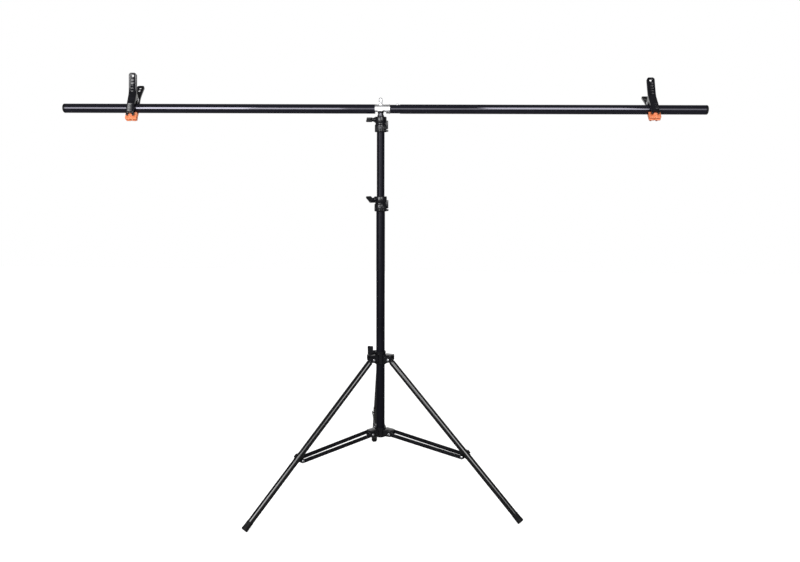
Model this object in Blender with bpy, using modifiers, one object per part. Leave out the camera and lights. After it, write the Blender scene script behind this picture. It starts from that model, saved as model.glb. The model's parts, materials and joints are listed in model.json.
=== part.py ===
"""Backdrop stand: a folding tripod with a telescopic column, a two metre
crossbar on a swivelling T-fitting, and two spring clamps on the bar.

Metres, +Z up. +X runs along the crossbar. The origin is on the floor, under
the centre of the stand's bounding box.
"""
from math import atan2, cos, hypot, pi, radians, sin

import bmesh
import bpy
from mathutils import Matrix, Vector

# Clearances
FIT = 0.0003

# Crossbar
BAR_LENGTH = 2.0
BAR_DIAMETER = 0.0288
BAR_WALL = 0.0008
BAR_CAP_LIP = 0.0075
BAR_CAP_PLUG = 0.020
BAR_CAP_ROUND = 0.0022

# T-fitting and what joins it to the arms
FITTING_LEFT = 0.0173
FITTING_RIGHT = 0.0293
FITTING_STUB = 0.075
FITTING_STUB_WALL = 0.0022
FITTING_UNDERSIDE = 0.0083
FITTING_FLANGE_RADIUS = 0.0165
FITTING_FLANGE_HEIGHT = 0.006
FITTING_FLANGE_STEP = 0.0008
FITTING_TOP_FLAT = 0.0006
FITTING_CORE_HALF = 0.0130
COUPLING_SHOWING = 0.0305
COUPLING_LENGTH = 0.085
COUPLING_WALL = 0.0012
BUTTON_RADIUS = 0.0040
BUTTON_HEIGHT = 0.0030
BUTTON_SETBACK = 0.0080
CAP_NUT_RADIUS = 0.0063
CAP_NUT_HEIGHT = 0.0200
STUD_RADIUS = 0.0048
STUD_IN_NUT = 0.0120

# Telescopic column
BOTTOM_TUBE_DIAMETER = 0.0280
COLUMN_WALL = 0.0012
TELESCOPE_FIT = 0.00055
BOTTOM_TUBE_LENGTH = 0.772
MIDDLE_TUBE_LENGTH = 0.615
UPPER_TUBE_LENGTH = 0.560
MIDDLE_TUBE_SHOWING = 0.1990
NECK_HEIGHT = 0.0153
NECK_STEP = 0.0010
SPIGOT_PLUG = 0.025
TUBE_PLUG_LENGTH = 0.018
TUBE_PLUG_LIP = 0.0022

# Clamps on the column
MIDDLE_CLAMP_WALL = 0.0055
UPPER_CLAMP_WALL = 0.0060
CLAMP_WAIST_DEPTH = 0.0023
CLAMP_EDGE = 0.0012
CLAMP_ON_TUBE = 0.0285
CLAMP_ABOVE_TUBE = 0.0185
CLAMP_SLOT = 0.0022
CLAMP_BOSS_RADIUS = 0.0075
CLAMP_BOSS_STAND = 0.0028
CLAMP_KNOB_HEIGHT = 0.0095
RIVET_RADIUS = 0.0020
RIVET_HEAD_RADIUS = 0.0048
RIVET_HEAD_HEIGHT = 0.0022
RIVET_DROP = 0.0165
MIDDLE_KNOB_AZIMUTH = 212.0
UPPER_KNOB_AZIMUTH = 181.0
RIVET_AZIMUTH = 268.0

# Wing knobs
KNOB_SCREW_RADIUS = 0.0030
KNOB_HUB_RADIUS = 0.0060
KNOB_HUB_HEIGHT = 0.0110
KNOB_REACH = 0.0245
CLAMP_KNOB_SPAN = 0.0330
COLLAR_KNOB_SPAN = 0.0375
KNOB_WING_THICKNESS = 0.0055
MIDDLE_KNOB_TURN = 62.0
UPPER_KNOB_TURN = 70.0
COLLAR_KNOB_TURN = 0.0

# Tripod
LEG_COUNT = 3
FIRST_LEG_AZIMUTH = 216.5
LEG_SPREAD = 44.5
LEG_LENGTH = 0.649
LEG_DIAMETER = 0.0195
LEG_WALL = 0.0010
LEG_PIVOT_STAND = 0.0155
LEG_TUBE_START = 0.0150
FOOT_LENGTH = 0.0300
FOOT_WALL = 0.0008
FOOT_FLAT_DEPTH = 0.0015
KNUCKLE_RADIUS = 0.0095
KNUCKLE_WIDTH = 0.0172
KNUCKLE_PLUG = 0.026

# Leg collar
COLLAR_WALL = 0.0032
COLLAR_ABOVE_PIVOT = 0.0250
COLLAR_BELOW_PIVOT = 0.0165
EAR_THICKNESS = 0.0045
EAR_REACH = 0.0112
EAR_ABOVE_PIVOT = 0.0160
EAR_BELOW_PIVOT = 0.0080
EAR_ROOF = 0.0040
EAR_WINDOW_RADIUS = 0.0040
COLLAR_KNOB_HEIGHT = 0.0180
COLLAR_BOSS_RADIUS = 0.0070
COLLAR_BOSS_STAND = 0.0060
PIN_RADIUS = 0.0025
PIN_HEAD_RADIUS = 0.0046
PIN_HEAD_HEIGHT = 0.0016

# Lower hub and braces
HUB_DROP = 0.2480
HUB_WALL = 0.0048
HUB_ABOVE_PIVOT = 0.0150
HUB_BELOW_PIVOT = 0.0165
HUB_PIVOT_STAND = 0.0209
HUB_LUG_WIDTH = 0.0310
HUB_LUG_PLATE = 0.0050
HUB_LUG_ABOVE = 0.0090
HUB_LUG_BELOW = 0.0105
HUB_LUG_END = 0.0065
HUB_LUG_ROOF = 0.0035
HUB_LUG_CORNER = 0.0060
HUB_WINDOW_RADIUS = 0.0036
HUB_WINDOW_EDGE = 0.0020
LUG_SLOT_SETBACK = 0.0012
BRACE_WIDTH = 0.0120
BRACE_THICKNESS = 0.0020
BRACKET_ALONG_LEG = 0.3850
BRACKET_OFFSET = 0.0125
BRACKET_LENGTH = 0.0260
BRACKET_WALL = 0.0024
BRACKET_LUG_WIDTH = 0.0180
BRACKET_LUG_END = 0.0055

# Spring clamps on the crossbar
LEFT_CLAMP_SETBACK = 0.2200
RIGHT_CLAMP_SETBACK = 0.1650
LEFT_CLAMP_LEAN = 28.0
RIGHT_CLAMP_LEAN = 46.0
JAW_WIDTH = 0.0270
JAW_THICKNESS = 0.0070
JAW_PIVOT_STAND = 0.0166
JAW_PIVOT_OFFSET = 0.0120
HANDLE_LENGTH = 0.0815
HANDLE_SPLAY = 18.0
HANDLE_HOLE_RADIUS = 0.0030
HANDLE_HOLE_SETBACK = 0.0095
JAW_BAR_GAP = 0.0004
JAW_EAR_RADIUS = 0.0080
JAW_EAR_THICKNESS = 0.0032
JAW_EAR_GAP = 0.0005
JAW_PIN_RADIUS = 0.0030
JAW_PIN_HEAD_RADIUS = 0.0046
JAW_PIN_HEAD_HEIGHT = 0.0014
PAD_WIDTH = 0.0360
PAD_HEIGHT = 0.0250
PAD_THICKNESS = 0.0060
PAD_GAP = 0.0020
PAD_ROUND = 0.0012
PAD_TOP_DROP = 0.0024
PAD_BOSS_RADIUS = 0.0030
PAD_BOSS_WIDTH = 0.0120
PAD_BOSS_SETBACK = 0.0026
SPRING_TURNS = 3
SPRING_WIRE_RADIUS = 0.0008
SPRING_PITCH = 0.0022
SPRING_LEG = 0.0110
SPRING_STEPS = 12

# Facets
TUBE_STEPS = 24
SMALL_STEPS = 12

# Worked out from the driving dimensions: tripod
SPREAD = radians(LEG_SPREAD)
LEG_RADIUS = LEG_DIAMETER / 2
FOOT_RADIUS = LEG_RADIUS + FIT + FOOT_WALL
LEG_AZIMUTHS = [FIRST_LEG_AZIMUTH + 360 / LEG_COUNT * index for index in range(LEG_COUNT)]
FOOT_END_HEIGHT = FOOT_RADIUS * sin(SPREAD) - FOOT_FLAT_DEPTH
LEG_PIVOT_HEIGHT = FOOT_END_HEIGHT + LEG_LENGTH * cos(SPREAD)
COLLAR_RADIUS = BOTTOM_TUBE_DIAMETER / 2 + FIT + COLLAR_WALL
LEG_PIVOT_RADIUS = COLLAR_RADIUS + LEG_PIVOT_STAND
FOOT_REACH = LEG_PIVOT_RADIUS + LEG_LENGTH * sin(SPREAD)
KNOB_ANGLE = FIRST_LEG_AZIMUTH - 180 / LEG_COUNT

# Worked out: braces
HUB_HEIGHT = LEG_PIVOT_HEIGHT - HUB_DROP
HUB_RADIUS = BOTTOM_TUBE_DIAMETER / 2 + FIT + HUB_WALL
HUB_PIVOT_RADIUS = HUB_RADIUS + HUB_PIVOT_STAND
BRACKET_REACH = LEG_PIVOT_RADIUS + BRACKET_ALONG_LEG * sin(SPREAD) - BRACKET_OFFSET * cos(SPREAD)
BRACKET_HEIGHT = LEG_PIVOT_HEIGHT - BRACKET_ALONG_LEG * cos(SPREAD) - BRACKET_OFFSET * sin(SPREAD)
BRACE_LENGTH = hypot(BRACKET_REACH - HUB_PIVOT_RADIUS, BRACKET_HEIGHT - HUB_HEIGHT)
BRACE_PITCH = atan2(BRACKET_HEIGHT - HUB_HEIGHT, BRACKET_REACH - HUB_PIVOT_RADIUS)
BRACKET_RADIUS = LEG_RADIUS + FIT + BRACKET_WALL
BRACE_HUB_GAP = HUB_LUG_WIDTH / 2 + FIT
BRACE_LEG_GAP = BRACKET_RADIUS + 2 * FIT
BRACE_TOE_IN = atan2(BRACE_HUB_GAP - BRACE_LEG_GAP, BRACE_LENGTH)
HUB_PIN_HALF = BRACE_HUB_GAP + BRACE_THICKNESS + 2 * FIT

# Worked out: column
BOTTOM_TUBE_RADIUS = BOTTOM_TUBE_DIAMETER / 2
MIDDLE_TUBE_RADIUS = BOTTOM_TUBE_RADIUS - COLUMN_WALL - TELESCOPE_FIT
UPPER_TUBE_RADIUS = MIDDLE_TUBE_RADIUS - COLUMN_WALL - TELESCOPE_FIT
NECK_RADIUS = UPPER_TUBE_RADIUS - NECK_STEP
BOTTOM_TUBE_BASE = HUB_HEIGHT - HUB_BELOW_PIVOT
BOTTOM_TUBE_TOP = BOTTOM_TUBE_BASE + BOTTOM_TUBE_LENGTH
MIDDLE_CLAMP_TOP = BOTTOM_TUBE_TOP + CLAMP_ABOVE_TUBE
UPPER_CLAMP_BASE = MIDDLE_CLAMP_TOP + MIDDLE_TUBE_SHOWING
MIDDLE_TUBE_TOP = UPPER_CLAMP_BASE + CLAMP_ON_TUBE
UPPER_CLAMP_TOP = MIDDLE_TUBE_TOP + CLAMP_ABOVE_TUBE
UPPER_TUBE_TOP = UPPER_CLAMP_TOP + 0.1 * NECK_HEIGHT
FITTING_BASE = UPPER_CLAMP_TOP + NECK_HEIGHT
BAR_HEIGHT = FITTING_BASE + FITTING_UNDERSIDE

# Worked out: crossbar
BAR_RADIUS = BAR_DIAMETER / 2
BAR_BORE = BAR_RADIUS - BAR_WALL
STUB_RADIUS = BAR_BORE - FIT
COUPLING_BORE = STUB_RADIUS - COUPLING_WALL
INNER_STUB_RADIUS = COUPLING_BORE - FIT
RIGHT_ARM_START = FITTING_RIGHT + COUPLING_SHOWING
BUTTON_PLACE = RIGHT_ARM_START - BUTTON_SETBACK
CAP_NUT_BASE = BAR_RADIUS - FITTING_TOP_FLAT + FIT
JAW_PIVOT_HEIGHT = BAR_RADIUS + JAW_PIVOT_STAND
SPRING_CLAMPS = (("left", LEFT_CLAMP_SETBACK - BAR_LENGTH / 2, LEFT_CLAMP_LEAN),
                 ("right", BAR_LENGTH / 2 - RIGHT_CLAMP_SETBACK, RIGHT_CLAMP_LEAN))


def foot_extent(azimuth, side):
    """Furthest Y that a foot's square end reaches, from the column's axis."""
    outward = sin(radians(azimuth))
    across = cos(radians(azimuth))
    return side * (FOOT_REACH * outward * side + FOOT_RADIUS * hypot(across, cos(SPREAD) * outward))


FEET_BACK = max(foot_extent(azimuth, 1) for azimuth in LEG_AZIMUTHS)
FEET_FRONT = min(foot_extent(azimuth, -1) for azimuth in LEG_AZIMUTHS)
COLUMN_Y = -(FEET_BACK + FEET_FRONT) / 2


def srgb(hex_colour):
    """Linear RGBA of an sRGB hex colour."""
    channels = [int(hex_colour[place:place + 2], 16) / 255 for place in (0, 2, 4)]
    linear = [c / 12.92 if c <= 0.04045 else ((c + 0.055) / 1.055) ** 2.4 for c in channels]
    return (*linear, 1.0)


def make_material(name, hex_colour, roughness, metallic):
    material = bpy.data.materials.new(name)
    material.use_nodes = True
    shader = material.node_tree.nodes["Principled BSDF"]
    shader.inputs["Base Color"].default_value = srgb(hex_colour)
    shader.inputs["Roughness"].default_value = roughness
    shader.inputs["Metallic"].default_value = metallic
    material.diffuse_color = srgb(hex_colour)
    return material


for leftover in list(bpy.data.objects):
    bpy.data.objects.remove(leftover, do_unlink=True)

parts = bpy.data.collections.new("backdrop_stand")
cutters = bpy.data.collections.new("cutters")
bpy.context.scene.collection.children.link(parts)
bpy.context.scene.collection.children.link(cutters)

BLACK_TUBE = make_material("black_anodised_tube", "1A1922", 0.28, 0.9)
BLACK_PLASTIC = make_material("black_moulded_plastic", "1B1B20", 0.5, 0.0)
BLACK_STEEL = make_material("black_painted_steel", "17171A", 0.4, 0.3)
RUBBER = make_material("black_rubber", "141416", 0.75, 0.0)
BRIGHT_METAL = make_material("bright_plated_metal", "E8E9EB", 0.18, 1.0)
ORANGE_PAD = make_material("orange_soft_plastic", "F0803C", 0.5, 0.0)


def empty(name, parent, location=(0, 0, 0), rotation=(0, 0, 0)):
    holder = bpy.data.objects.new(name, None)
    holder.empty_display_size = 0.03
    parts.objects.link(holder)
    holder.parent = parent
    holder.location = location
    holder.rotation_euler = rotation
    return holder


def settle(shape, parent, material=None, location=(0, 0, 0), rotation=(0, 0, 0)):
    """Place a shape under its parent: a part if it has a material, or else a tool."""
    shape.parent = parent
    shape.location = location
    shape.rotation_euler = rotation
    if material is None:
        cutters.objects.link(shape)
        shape.hide_render = True
        shape.display_type = "WIRE"
    else:
        parts.objects.link(shape)
        shape.data.materials.append(material)
    return shape


def shade(mesh):
    mesh.shade_smooth()
    mesh.set_sharp_from_angle(angle=radians(35))


def bake(drawn):
    """A mesh object of a curve's or a modified shape's surface, in place of it."""
    cutters.objects.link(drawn)
    bpy.context.view_layer.update()
    mesh = bpy.data.meshes.new_from_object(drawn.evaluated_get(bpy.context.evaluated_depsgraph_get()))
    name = drawn.name
    bpy.data.objects.remove(drawn, do_unlink=True)
    form = bmesh.new()
    form.from_mesh(mesh)
    bmesh.ops.remove_doubles(form, verts=form.verts, dist=0.00001)
    bmesh.ops.recalc_face_normals(form, faces=form.faces)
    form.to_mesh(mesh)
    form.free()
    mesh.materials.clear()
    shade(mesh)
    return bpy.data.objects.new(name, mesh)


def turned(name, profile, parent, material=None, location=(0, 0, 0), rotation=(0, 0, 0),
           steps=TUBE_STEPS, ring=False):
    """Turn a profile of (radius, height) points, listed down its outer side."""
    mesh = bpy.data.meshes.new(name)
    count = len(profile)
    edges = [(index, index + 1) for index in range(count - 1)]
    if ring:
        edges.append((count - 1, 0))
    mesh.from_pydata([(radius, 0, height) for radius, height in profile], edges, [])
    shape = bpy.data.objects.new(name, mesh)
    screw = shape.modifiers.new("turn", "SCREW")
    screw.steps = steps
    screw.render_steps = steps
    screw.use_merge_vertices = True
    screw.merge_threshold = 0.00001
    return settle(bake(shape), parent, material, location, rotation)


def ring_profile(outer, inner, top, base):
    return [(outer, top), (outer, base), (inner, base), (inner, top)]


def rod_profile(radius, top, base):
    return [(0, top), (radius, top), (radius, base), (0, base)]


def box(name, size, centre, parent, material=None, location=(0, 0, 0), rotation=(0, 0, 0)):
    mesh = bpy.data.meshes.new(name)
    form = bmesh.new()
    bmesh.ops.create_cube(form, size=1.0, matrix=Matrix.Translation(centre) @ Matrix.Diagonal((*size, 1)))
    form.to_mesh(mesh)
    form.free()
    return settle(bpy.data.objects.new(name, mesh), parent, material, location, rotation)


def plate(name, outlines, thickness, parent, material=None, location=(0, 0, 0), rotation=(0, 0, 0),
          smooth=False, resolution=3):
    """Extrude closed outlines in the local XY plane; any outline after the first is a hole."""
    curve = bpy.data.curves.new(name, "CURVE")
    curve.dimensions = "2D"
    curve.fill_mode = "BOTH"
    curve.extrude = thickness / 2
    curve.resolution_u = resolution
    for index, outline in enumerate(outlines):
        rounded = smooth and index == 0
        spline = curve.splines.new("BEZIER" if rounded else "POLY")
        points = spline.bezier_points if rounded else spline.points
        points.add(len(outline) - 1)
        for point, (x, y) in zip(points, outline):
            point.co = (x, y, 0) if rounded else (x, y, 0, 1)
            if rounded:
                point.handle_left_type = "AUTO"
                point.handle_right_type = "AUTO"
        spline.use_cyclic_u = True
    return settle(bake(bpy.data.objects.new(name, curve)), parent, material, location, rotation)


def wire(name, points, radius, parent, material):
    """A round wire through points, with closed ends."""
    curve = bpy.data.curves.new(name, "CURVE")
    curve.dimensions = "3D"
    curve.bevel_depth = radius
    curve.bevel_resolution = 1
    curve.use_fill_caps = True
    spline = curve.splines.new("POLY")
    spline.points.add(len(points) - 1)
    for point, place in zip(spline.points, points):
        point.co = (*place, 1)
    return settle(bpy.data.objects.new(name, curve), parent, material)


def least_gap(points, radius):
    """Least clear distance between points of a coil that lie over half a turn apart."""
    apart = SPRING_STEPS // 2 + 1
    places = [Vector(point) for point in points]
    return min((places[first] - places[second]).length
               for first in range(len(places)) for second in range(first + apart, len(places))) - 2 * radius


def combine(shape, tools, operation):
    for tool in tools:
        boolean = shape.modifiers.new(operation.lower(), "BOOLEAN")
        boolean.operation = operation
        boolean.solver = "EXACT"
        boolean.object = tool
    return shape


def circle(centre_x, centre_y, radius, count=SMALL_STEPS):
    return [(centre_x + radius * cos(2 * pi * index / count),
             centre_y + radius * sin(2 * pi * index / count)) for index in range(count)]


def arc(centre_x, centre_y, radius, start, end, count):
    angles = [radians(start + (end - start) * index / count) for index in range(count + 1)]
    return [(centre_x + radius * cos(angle), centre_y + radius * sin(angle)) for angle in angles]


ALONG_X = (0, pi / 2, 0)
ACROSS_Y = (pi / 2, 0, 0)

stand = empty("stand", None, (0, COLUMN_Y, 0))


def make_wing_knob(name, parent, azimuth, height, seat, tip, span, turn):
    """A wing knob on a radial screw. Its joint's axis is the screw: the holder's local Z."""
    angle = radians(azimuth)
    facing = Matrix.Rotation(angle, 4, "Z") @ Matrix.Rotation(pi / 2, 4, "Y") @ Matrix.Rotation(radians(turn), 4, "Z")
    holder = empty(name + "_axis", parent, (seat * cos(angle), seat * sin(angle), height), facing.to_euler())
    hub = [(0, KNOB_HUB_HEIGHT), (KNOB_HUB_RADIUS * 0.8, KNOB_HUB_HEIGHT), (KNOB_HUB_RADIUS, FIT),
           (KNOB_SCREW_RADIUS, FIT), (KNOB_SCREW_RADIUS, tip - seat), (0, tip - seat)]
    knob = turned(name, hub, holder, BLACK_PLASTIC, steps=SMALL_STEPS)
    half = span / 2
    right = [(KNOB_HUB_RADIUS * 0.7, 0.0016), (half * 0.72, KNOB_REACH * 0.30), (half, KNOB_REACH * 0.62),
             (half * 0.86, KNOB_REACH * 0.98), (half * 0.40, KNOB_REACH * 0.90)]
    left = [(-x, y) for x, y in reversed(right)]
    wing = plate(name + "_wing", [right + [(0, KNOB_REACH * 0.74)] + left], KNOB_WING_THICKNESS, holder,
                 rotation=ACROSS_Y, smooth=True)
    return combine(knob, [wing], "UNION")


def make_tube_clamp(name, parent, tube_top, lower_radius, upper_radius, wall, knob_azimuth, knob_turn):
    """A moulded clamp over a tube's end, gripping the next tube with a radial screw."""
    base = tube_top - CLAMP_ON_TUBE
    top = tube_top + CLAMP_ABOVE_TUBE
    lower_bore = lower_radius + FIT
    upper_bore = upper_radius + FIT
    outer = lower_bore + wall
    waist = outer - CLAMP_WAIST_DEPTH
    boss_reach = outer + CLAMP_BOSS_STAND
    edge = CLAMP_EDGE
    profile = [(outer - edge, top), (outer, top - edge), (outer, tube_top + edge), (waist, tube_top - edge),
               (waist, tube_top - 3 * edge), (outer, tube_top - 5 * edge), (outer, base + edge), (outer - edge, base),
               (lower_bore, base), (lower_bore, tube_top + FIT), (upper_bore, tube_top + FIT), (upper_bore, top)]
    body = turned(name, profile, parent, BLACK_PLASTIC, ring=True)
    knob_height = tube_top + CLAMP_KNOB_HEIGHT
    facing = Matrix.Rotation(radians(knob_azimuth), 4, "Z") @ Matrix.Rotation(pi / 2, 4, "Y")
    turn = facing.to_euler()
    boss = turned(name + "_boss", rod_profile(CLAMP_BOSS_RADIUS, boss_reach, upper_bore + 2 * FIT), parent,
                  location=(0, 0, knob_height), rotation=turn, steps=SMALL_STEPS)
    hole = turned(name + "_screw_hole", rod_profile(KNOB_SCREW_RADIUS + FIT, boss_reach * 2, 0), parent,
                  location=(0, 0, knob_height), rotation=turn, steps=SMALL_STEPS)
    reach = outer * 2
    slot_height = CLAMP_ABOVE_TUBE
    slot = box(name + "_slot", (reach, CLAMP_SLOT, slot_height), (reach / 2, 0, tube_top + 2 * edge + slot_height / 2),
               parent, rotation=(0, 0, radians(knob_azimuth + 130)))
    rivet_facing = Matrix.Rotation(radians(RIVET_AZIMUTH), 4, "Z") @ Matrix.Rotation(pi / 2, 4, "Y")
    rivet_height = tube_top - RIVET_DROP
    rivet_hole = turned(name + "_rivet_hole", rod_profile(RIVET_RADIUS + FIT, outer * 2, 0), parent,
                        location=(0, 0, rivet_height), rotation=rivet_facing.to_euler(), steps=SMALL_STEPS)
    combine(body, [boss], "UNION")
    combine(body, [hole, slot, rivet_hole], "DIFFERENCE")
    seat = outer + FIT
    head = [(0, seat + RIVET_HEAD_HEIGHT), (RIVET_HEAD_RADIUS * 0.7, seat + RIVET_HEAD_HEIGHT),
            (RIVET_HEAD_RADIUS, seat + RIVET_HEAD_HEIGHT * 0.4), (RIVET_HEAD_RADIUS, seat), (RIVET_RADIUS, seat),
            (RIVET_RADIUS, lower_bore), (0, lower_bore)]
    turned(name + "_rivet", head, parent, BLACK_STEEL, (0, 0, rivet_height), rivet_facing.to_euler(), SMALL_STEPS)
    make_wing_knob(name + "_knob", parent, knob_azimuth, knob_height, boss_reach, upper_bore, CLAMP_KNOB_SPAN,
                   knob_turn)


def make_bottom_section():
    turned("bottom_tube", ring_profile(BOTTOM_TUBE_RADIUS, BOTTOM_TUBE_RADIUS - COLUMN_WALL,
                                       BOTTOM_TUBE_TOP, BOTTOM_TUBE_BASE), stand, BLACK_TUBE, ring=True)
    plug_radius = BOTTOM_TUBE_RADIUS - COLUMN_WALL - FIT
    lip_top = BOTTOM_TUBE_BASE - FIT
    turned("bottom_tube_plug", [(0, lip_top + TUBE_PLUG_LENGTH), (plug_radius - 0.001, lip_top + TUBE_PLUG_LENGTH),
                                (plug_radius, lip_top + TUBE_PLUG_LENGTH - 0.001), (plug_radius, lip_top),
                                (BOTTOM_TUBE_RADIUS, lip_top), (BOTTOM_TUBE_RADIUS, lip_top - TUBE_PLUG_LIP),
                                (0, lip_top - TUBE_PLUG_LIP)], stand, BLACK_PLASTIC)
    make_tube_clamp("middle_clamp", stand, BOTTOM_TUBE_TOP, BOTTOM_TUBE_RADIUS, MIDDLE_TUBE_RADIUS,
                    MIDDLE_CLAMP_WALL, MIDDLE_KNOB_AZIMUTH, MIDDLE_KNOB_TURN)


def make_lower_hub():
    bore = BOTTOM_TUBE_RADIUS + FIT
    top = HUB_HEIGHT + HUB_ABOVE_PIVOT
    hub = turned("lower_hub", ring_profile(HUB_RADIUS, bore, top, BOTTOM_TUBE_BASE), stand, BLACK_PLASTIC, ring=True)
    lugs = []
    cuts = []
    inner = bore + 0.4 * HUB_WALL
    end = HUB_PIVOT_RADIUS + HUB_LUG_END
    for index, azimuth in enumerate(LEG_AZIMUTHS, 1):
        turn = (0, 0, radians(azimuth))
        low = -HUB_LUG_BELOW
        high = HUB_LUG_ABOVE
        corner = HUB_LUG_CORNER
        side = [(inner, low), (end - corner, low), (end, low + corner), (end, high - corner), (end - corner, high),
                (HUB_RADIUS + 0.004, high + 0.002), (inner, high + 0.002)]
        window = circle(HUB_RADIUS + 2 * LUG_SLOT_SETBACK + HUB_WINDOW_RADIUS,
                        low + HUB_WINDOW_EDGE + HUB_WINDOW_RADIUS, HUB_WINDOW_RADIUS)
        lugs.append(plate(f"hub_lug_{index}", [side, window], HUB_LUG_WIDTH, stand, location=(0, 0, HUB_HEIGHT),
                          rotation=(pi / 2, 0, radians(azimuth))))
        room = HUB_LUG_WIDTH - 2 * HUB_LUG_PLATE
        cuts.append(box(f"hub_lug_slot_{index}", (end, room, 2 * HUB_LUG_BELOW),
                        (HUB_RADIUS + LUG_SLOT_SETBACK + end / 2, 0, high - HUB_LUG_ROOF - HUB_LUG_BELOW), stand,
                        location=(0, 0, HUB_HEIGHT), rotation=turn))
        cuts.append(turned(f"hub_pin_hole_{index}", rod_profile(PIN_RADIUS + FIT, HUB_LUG_WIDTH, -HUB_LUG_WIDTH),
                           stand, location=(HUB_PIVOT_RADIUS * cos(radians(azimuth)),
                                            HUB_PIVOT_RADIUS * sin(radians(azimuth)), HUB_HEIGHT),
                           rotation=(pi / 2, 0, radians(azimuth)), steps=SMALL_STEPS))
    bore_cut = turned("hub_bore", rod_profile(bore, top + 0.01, BOTTOM_TUBE_BASE - 0.01), stand)
    combine(hub, lugs, "UNION")
    combine(hub, [bore_cut] + cuts, "DIFFERENCE")


def headed_pin_profile(radius, half, head_radius, head_height):
    return [(0, half + head_height), (head_radius * 0.75, half + head_height), (head_radius, half + head_height * 0.5),
            (head_radius, half), (radius, half), (radius, -half), (head_radius, -half),
            (head_radius, -half - head_height * 0.5), (head_radius * 0.75, -half - head_height),
            (0, -half - head_height)]


def make_leg_collar():
    """The sliding collar, with a forked ear for each leg and a boss for its knob."""
    holder = empty("leg_collar_slide", stand, (0, 0, LEG_PIVOT_HEIGHT))
    bore = BOTTOM_TUBE_RADIUS + FIT
    profile = [(COLLAR_RADIUS - 0.001, COLLAR_ABOVE_PIVOT), (COLLAR_RADIUS, COLLAR_ABOVE_PIVOT - 0.001),
               (COLLAR_RADIUS, -COLLAR_BELOW_PIVOT + 0.001), (COLLAR_RADIUS - 0.001, -COLLAR_BELOW_PIVOT),
               (bore, -COLLAR_BELOW_PIVOT), (bore, COLLAR_ABOVE_PIVOT)]
    collar = turned("leg_collar", profile, holder, BLACK_PLASTIC, ring=True)
    slot_width = KNUCKLE_WIDTH + 2 * FIT
    ear_width = slot_width + 2 * EAR_THICKNESS
    end = LEG_PIVOT_RADIUS + EAR_REACH
    inner = bore + 0.4 * COLLAR_WALL
    ears = []
    cuts = []
    for index, azimuth in enumerate(LEG_AZIMUTHS, 1):
        side = [(inner, -COLLAR_BELOW_PIVOT + 0.0005), (COLLAR_RADIUS + 0.004, -COLLAR_BELOW_PIVOT + 0.0005),
                (LEG_PIVOT_RADIUS - 0.004, -EAR_BELOW_PIVOT - 0.002), (LEG_PIVOT_RADIUS + 0.004, -EAR_BELOW_PIVOT),
                (end, -0.002), (end, EAR_ABOVE_PIVOT - 0.003), (end - 0.003, EAR_ABOVE_PIVOT),
                (inner, EAR_ABOVE_PIVOT)]
        window = circle(COLLAR_RADIUS + EAR_WINDOW_RADIUS + FIT, FIT - EAR_BELOW_PIVOT, EAR_WINDOW_RADIUS)
        ears.append(plate(f"collar_ear_{index}", [side, window], ear_width, holder,
                          rotation=(pi / 2, 0, radians(azimuth))))
        roof = EAR_ABOVE_PIVOT - EAR_ROOF
        depth = 2 * COLLAR_BELOW_PIVOT
        cuts.append(box(f"collar_ear_slot_{index}", (end, slot_width, roof + depth),
                        (COLLAR_RADIUS + LUG_SLOT_SETBACK + end / 2, 0, (roof - depth) / 2), holder,
                        rotation=(0, 0, radians(azimuth))))
        cuts.append(turned(f"collar_pin_hole_{index}", rod_profile(PIN_RADIUS + FIT, ear_width, -ear_width), holder,
                           location=(LEG_PIVOT_RADIUS * cos(radians(azimuth)),
                                     LEG_PIVOT_RADIUS * sin(radians(azimuth)), 0),
                           rotation=(pi / 2, 0, radians(azimuth)), steps=SMALL_STEPS))
    facing = (Matrix.Rotation(radians(KNOB_ANGLE), 4, "Z") @ Matrix.Rotation(pi / 2, 4, "Y")).to_euler()
    boss_reach = COLLAR_RADIUS + COLLAR_BOSS_STAND
    boss = turned("collar_boss", rod_profile(COLLAR_BOSS_RADIUS, boss_reach, inner), holder,
                  location=(0, 0, COLLAR_KNOB_HEIGHT), rotation=facing, steps=SMALL_STEPS)
    hole = turned("collar_screw_hole", rod_profile(KNOB_SCREW_RADIUS + FIT, boss_reach * 2, 0), holder,
                  location=(0, 0, COLLAR_KNOB_HEIGHT), rotation=facing, steps=SMALL_STEPS)
    combine(collar, ears + [boss], "UNION")
    combine(collar, cuts + [hole], "DIFFERENCE")
    for index, azimuth in enumerate(LEG_AZIMUTHS, 1):
        angle = radians(azimuth)
        turned(f"leg_pin_{index}", headed_pin_profile(PIN_RADIUS, ear_width / 2 + FIT, PIN_HEAD_RADIUS,
                                                      PIN_HEAD_HEIGHT), holder, BRIGHT_METAL,
               (LEG_PIVOT_RADIUS * cos(angle), LEG_PIVOT_RADIUS * sin(angle), 0), (pi / 2, 0, angle), SMALL_STEPS)
    make_wing_knob("leg_collar_knob", holder, KNOB_ANGLE, COLLAR_KNOB_HEIGHT, boss_reach, bore, COLLAR_KNOB_SPAN,
                   COLLAR_KNOB_TURN)
    return holder


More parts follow.
